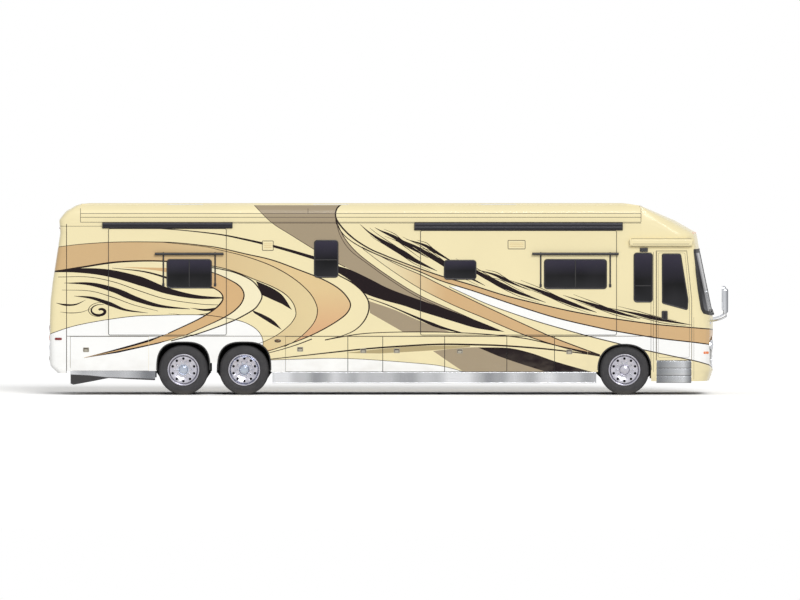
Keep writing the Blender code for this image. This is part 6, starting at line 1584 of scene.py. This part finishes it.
for way, side in SIDES:
    y0, y1 = sorted(way * y for y in MIRROR_Y)
    shell = end_plate(f"mirror_shell_{side}", "coach", ("chrome", mirror_shell),
                      corner_round(y0, y1, *MIRROR_Z, 0.055, 8), MIRROR_X, MIRROR_DEEP, 0.045, steps=8)
    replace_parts(shell, f"mirror_{side}")
    for part, low, high in MIRROR_PANES:
        end_plate(f"mirror_glass_{part}_{side}", "coach", ("chrome", mirror_glass),
                  corner_round(y0 + 0.016, y1 - 0.016, low, high, 0.034, 6), MIRROR_X + 0.002, 0.006, 0.003,
                  -1)
    foot_at = (way * 0.98, ARM_Z)
    foot = np.array([6.560, *foot_at])
    knee, elbow = (np.array([ARM_END[0], way * ARM_END[1], z]) for z in (1.545, 1.625))
    t = np.linspace(0, 1, 16)[:, None]
    bend = foot * (1 - t) ** 2 + 2 * t * (1 - t) * (0.2 * foot + 0.8 * knee) + t ** 2 * elbow
    arm = np.vstack([bend[:-1], elbow, elbow + (0, 0, 0.07)])
    tube(f"mirror_arm_{side}", "coach", ("chrome", mirror_shell), arm, 0.021)
    end_turned(f"mirror_foot_{side}", "coach", CHROME, ARM_FOOT, foot_at,
               on_end("front_cap", [foot_at])[0, 0], count=32)

# Front and rear roof lamps: five small lenses in a row across each cap, amber ahead and red behind,
# bedded on the paint.
ROOF_LAMP_RINGS = ((-0.006, 0.0), (-0.005, 0.003), (0.0, 0.004), (0.002, 0.009), (0.010, 0.012))
ROOF_LAMP_Y = (-0.86, -0.16, 0.0, 0.16, 0.86)
ROOF_LAMP_HALF = (0.042, 0.016)
for k, y in enumerate(ROOF_LAMP_Y):
    for part, look, z, ahead in (("front", amber, 3.33, 1), ("rear", red_lens, 3.43, -1)):
        outline = corner_round(y - ROOF_LAMP_HALF[0], y + ROOF_LAMP_HALF[0], z - ROOF_LAMP_HALF[1],
                               z + ROOF_LAMP_HALF[1], 0.014, 5)
        grid = [on_end(f"{part}_cap", offset(outline, -inset), out, ahead) for inset, out in ROOF_LAMP_RINGS]
        solid(f"roof_lamp_{part}_{k + 1}", "coach", ("dark_glass", look), np.array(grid))

# Tail lamps: a black plastic pod screwed into the recess on each side of the rear cap. It holds a
# red, an amber and a clear round lens, each in a chromed ring.
TAIL_LENS = [(-0.002, 0.070), (0.006, 0.069), (0.013, 0.062), (0.018, 0.046), (0.021, 0.024), (0.022, 0.001)]
TAIL_RING = [(-0.002, 0.078), (0.007, 0.077), (0.010, 0.073), (0.008, 0.068), (-0.002, 0.067)]
TAIL_LAMPS = ((1.376, red_lens), (1.176, amber), (0.976, clear_lens))
POD_Y, POD_HALF, POD_Z = 1.03, 0.083, (0.884, 1.468)
for way, side in SIDES:
    y = way * POD_Y
    pod = corner_round(y - POD_HALF, y + POD_HALF, *POD_Z, 0.0825, 10)
    x = on_end("rear_cap", [(y, 0.84)], 0.0, -1)[0, 0]
    end_plate(f"tail_pod_{side}", "coach", BLACK, pod, x + 0.022, 0.018, 0.006, -1)
    for k, (z, look) in enumerate(TAIL_LAMPS):
        end_turned(f"tail_lens_{side}_{k + 1}", "coach", ("dark_glass", look), TAIL_LENS, (y, z), x + 0.004,
                   -1)
        end_turned(f"tail_ring_{side}_{k + 1}", "coach", CHROME, TAIL_RING, (y, z), x + 0.004, -1,
                   row_loop=True)

# Engine door: louvres with bright lips over a black screen, and two latches like those of the bays.
# A black holder below carries a bare plate of brushed steel.
LOUVRE_HALF, LOUVRE_Z, LOUVRE_PITCH, LOUVRE_H = 0.45, 0.98, 0.085, 0.045
ENGINE_LATCH_Y = 0.60
PLATE_HOLDER, BARE_PLATE = (-0.168, 0.168, 0.700, 0.872), (-0.153, 0.153, 0.711, 0.861)
door_x = on_end("engine_door", [(0.0, 0.80)], 0.0, -1)[0, 0]
# The screen is the grille's honeycomb, with painted shade in its cells.
end_plate("engine_screen", "engine_door", ("black_steel", mesh_black),
          corner_round(-0.48, 0.48, 0.955, 1.395, 0.02, 4), door_x + 0.040, 0.005, 0.002, -1)
for k in range(5):
    lip = level_line(LOUVRE_HALF - 0.003, LOUVRE_Z + LOUVRE_PITCH * k + LOUVRE_H + 0.010)
    end_strip(f"louvre_lip_{k + 1}", "engine_door", BRIGHT, "engine_door", lip, half_round(0.016, 0.009), -1)
for way, side in SIDES:
    y = way * ENGINE_LATCH_Y
    plate = corner_round(y - 0.062, y + 0.062, 0.690, 0.786, 0.014, 5)
    paddle = corner_round(y - 0.040, y + 0.040, 0.706, 0.752, 0.010, 5)
    end_plate(f"engine_latch_{side}", "engine_door", SATIN, plate, door_x, 0.004, 0.002, -1)
    end_plate(f"engine_paddle_{side}", "engine_door", SATIN, paddle, door_x - 0.004, 0.003, 0.002, -1)
end_plate("plate_holder", "engine_door", BLACK, corner_round(*PLATE_HOLDER, 0.012, 5), door_x, 0.005, 0.002, -1)
end_plate("bare_plate", "engine_door", ("stainless", brushed_with_painted_reflections("bare_plate_steel", 2.0)),
          corner_round(*BARE_PLATE, 0.010, 5), door_x - 0.005, 0.002, 0.001, -1)

# Roof deck: a membrane of white plastic sheet, welded in widths over the shallow crown of the roof,
# with lap seams across it.
DECK_HALF, DECK_LOW, DECK_HIGH = 0.996, 3.640, 3.680
DECK_REAR, DECK_FRONT = -6.352, 5.196
ROWS_PER_SHEET = 7
membrane, tree, body_shader = shader("roof_membrane", 0.6)
grime = noise_at(tree, 1.8, 5.0)
tone = blend_colours(tree, ramp(tree, grime.outputs["Fac"], 0.3, 0.75), linear("E9E6DB"), linear("CFCABB"))
dress(tree, body_shader, tone, noise_at(tree, 140.0, 2.0), 0.0008, 0.3)
y, x = np.meshgrid(np.linspace(-DECK_HALF, DECK_HALF, 17), np.linspace(DECK_REAR, DECK_FRONT, 56))
crown = DECK_LOW + (DECK_HIGH - DECK_LOW) * (1 - np.abs(y) / DECK_HALF)
lap = 0.0035 * (np.arange(len(x)) % ROWS_PER_SHEET == 0)[:, None]
top, low = np.stack([x, y, crown + 0.004 + lap], 2), np.stack([x, y, crown + 0.0005], 2)[:, ::-1]
solid("roof_deck_membrane", "coach", ("white_paint", membrane), np.concatenate([top, low], 1))

# Air conditioners: moulded white shrouds with intake slots in the sides and ribs on the top. Roof
# vents: smoked domed lids on a low frame.
shroud = plain("shroud_plastic", "F1F0EB", 0.38, grain=120.0, worn=0.04)
AIRCONS = (-4.160, -1.155, 2.311)
SHROUD_HALF, SHROUD_OUT = 0.366, 0.006
SLOT_Z, SLOT_PITCH, SLOT_HALF = 3.735, 0.052, 0.013
RIDGE_Z, RIDGE_X = 3.9075, (0.0, 0.03, 0.62, 0.65)
RIDGE = ((-0.05, 0.0), (-0.04, 0.005), (0.04, 0.005), (0.05, 0.0), (0.0, -0.004))


def shroud_outline(x, grow):
    """The side view of a shroud: an upright rear, a slope to the flat top and a longer slope ahead."""
    corners = [(x - 0.5 - grow, 3.655), (x + 0.5 + grow, 3.655), (x + 0.5 + grow, 3.702 + grow),
               (x + 0.32 + grow, 3.902 + grow), (x - 0.41 - grow, 3.902 + grow)]
    return blunt(corners, 0.018, 4)


for k, x in enumerate(AIRCONS):
    rings = [(-SHROUD_HALF, -0.012), (-SHROUD_HALF + 0.0012, -0.004), (-SHROUD_HALF + 0.006, SHROUD_OUT)]
    rings += [(-y, grow) for y, grow in rings[::-1]]
    grid = np.stack([np.column_stack([o[:, 0], np.full(len(o), y), o[:, 1]])
                     for y, o in ((y, shroud_outline(x, grow)) for y, grow in rings)], 0)
    solid(f"aircon_shroud_{k + 1}", "coach", ("white_paint", shroud), grid)
    for j in range(3):
        y = -0.20 + 0.20 * j
        ridge = np.array([[(x - 0.38 + dx, y + dy, RIDGE_Z + dz) for dy, dz in RIDGE] for dx in RIDGE_X])
        solid(f"aircon_rib_{k + 1}_{j + 1}", "coach", ("white_paint", shroud), ridge)
    for way, side in SIDES:
        for j in range(3):
            z = SLOT_Z + SLOT_PITCH * j
            ring = corner_round(x - 0.30, x + 0.20, z - SLOT_HALF, z + SLOT_HALF, 0.012, 4)
            pillow(f"aircon_slot_{k + 1}_{side}_{j + 1}", "coach", ("black_steel", liner),
                   ring - np.array([REAR_X, 0.0]), SHROUD_HALF - 0.002, SHROUD_HALF + 0.0016, 0.001, way,
                   steps=2)
VENT_LIDS = (-2.888, 0.578)
VENT_HALF = 0.222
VENT_FRAME = [(0.0, 3.660), (0.0, 3.700), (0.004, 3.706)]
VENT_DOME = [(0.006, 3.706), (0.004, 3.770), (0.010, 3.783), (0.03, 3.790), (0.09, 3.797), (0.17, 3.800)]
smoke = plain("smoked_acrylic", "3A3A3E", 0.1, coat=0.3, grain=20.0)
for k, x in enumerate(VENT_LIDS):
    for part, levels, finish in (("frame", VENT_FRAME, ("white_paint", shroud)),
                                 ("lid", VENT_DOME, ("dark_glass", smoke))):
        grid = []
        for inset, z in levels:
            half = VENT_HALF - inset
            o = corner_round(x - half, x + half, -half, half, max(0.012, 0.022 - inset), 5)
            grid.append(np.column_stack([o, np.full(len(o), z)]))
        solid(f"roof_vent_{part}_{k + 1}", "coach", finish, np.array(grid))

# Solids that stay: the floor, seats, running gear and all else that no piece covers. Each keeps the
# finish of its real material.
vinyl = plain("floor_vinyl", "8A7558", 0.5, grain=50.0, depth=0.001)
leather = plain("seat_leather", "C9B48C", 0.45, coat=0.1, grain=240.0, depth=0.0015)
# The windshield's foot is painted a lighter grey: a painted reflection.
WINDSHIELD_PAINTED_FOOT_REFLECTION = linear("6E6E72")
glass_look = pane_look("curved_glass", 1.64, 2.98, WINDSHIELD_PAINTED_FOOT_REFLECTION)
FINISHES = {"cream_paint": looks["cream"], "white_paint": looks["white"], "black_steel": black_metal,
            "dark_glass": glass_look, "stainless": stainless, "chrome": chrome, "tyre_rubber": tyre_look,
            "cast_iron": cast, "floor_lining": vinyl, "leather": leather}
OWN_FINISH = {"roof": looks["cream"], "basement": liner, "chassis_frame": cast, "drive_axle": cast,
              "front_axle": cast, "tag_axle": cast, "entry_step": step_steel,
              "slide_front_left": looks["cream"],
              "slide_front_right": looks["cream"], "slide_rear_right": looks["cream"],
              "rear_cap": fade("rear_cap_paint", PAINTS["white"], PAINTS["cream"], "Z", 1.115, 1.125)}
for name, node in nodes.items():
    for place in node.material_slots:
        kept = place.material.name.split(".")[0] if place.material else "cream_paint"
        if kept in FINISHES:
            place.material = OWN_FINISH.get(name, FINISHES[kept])
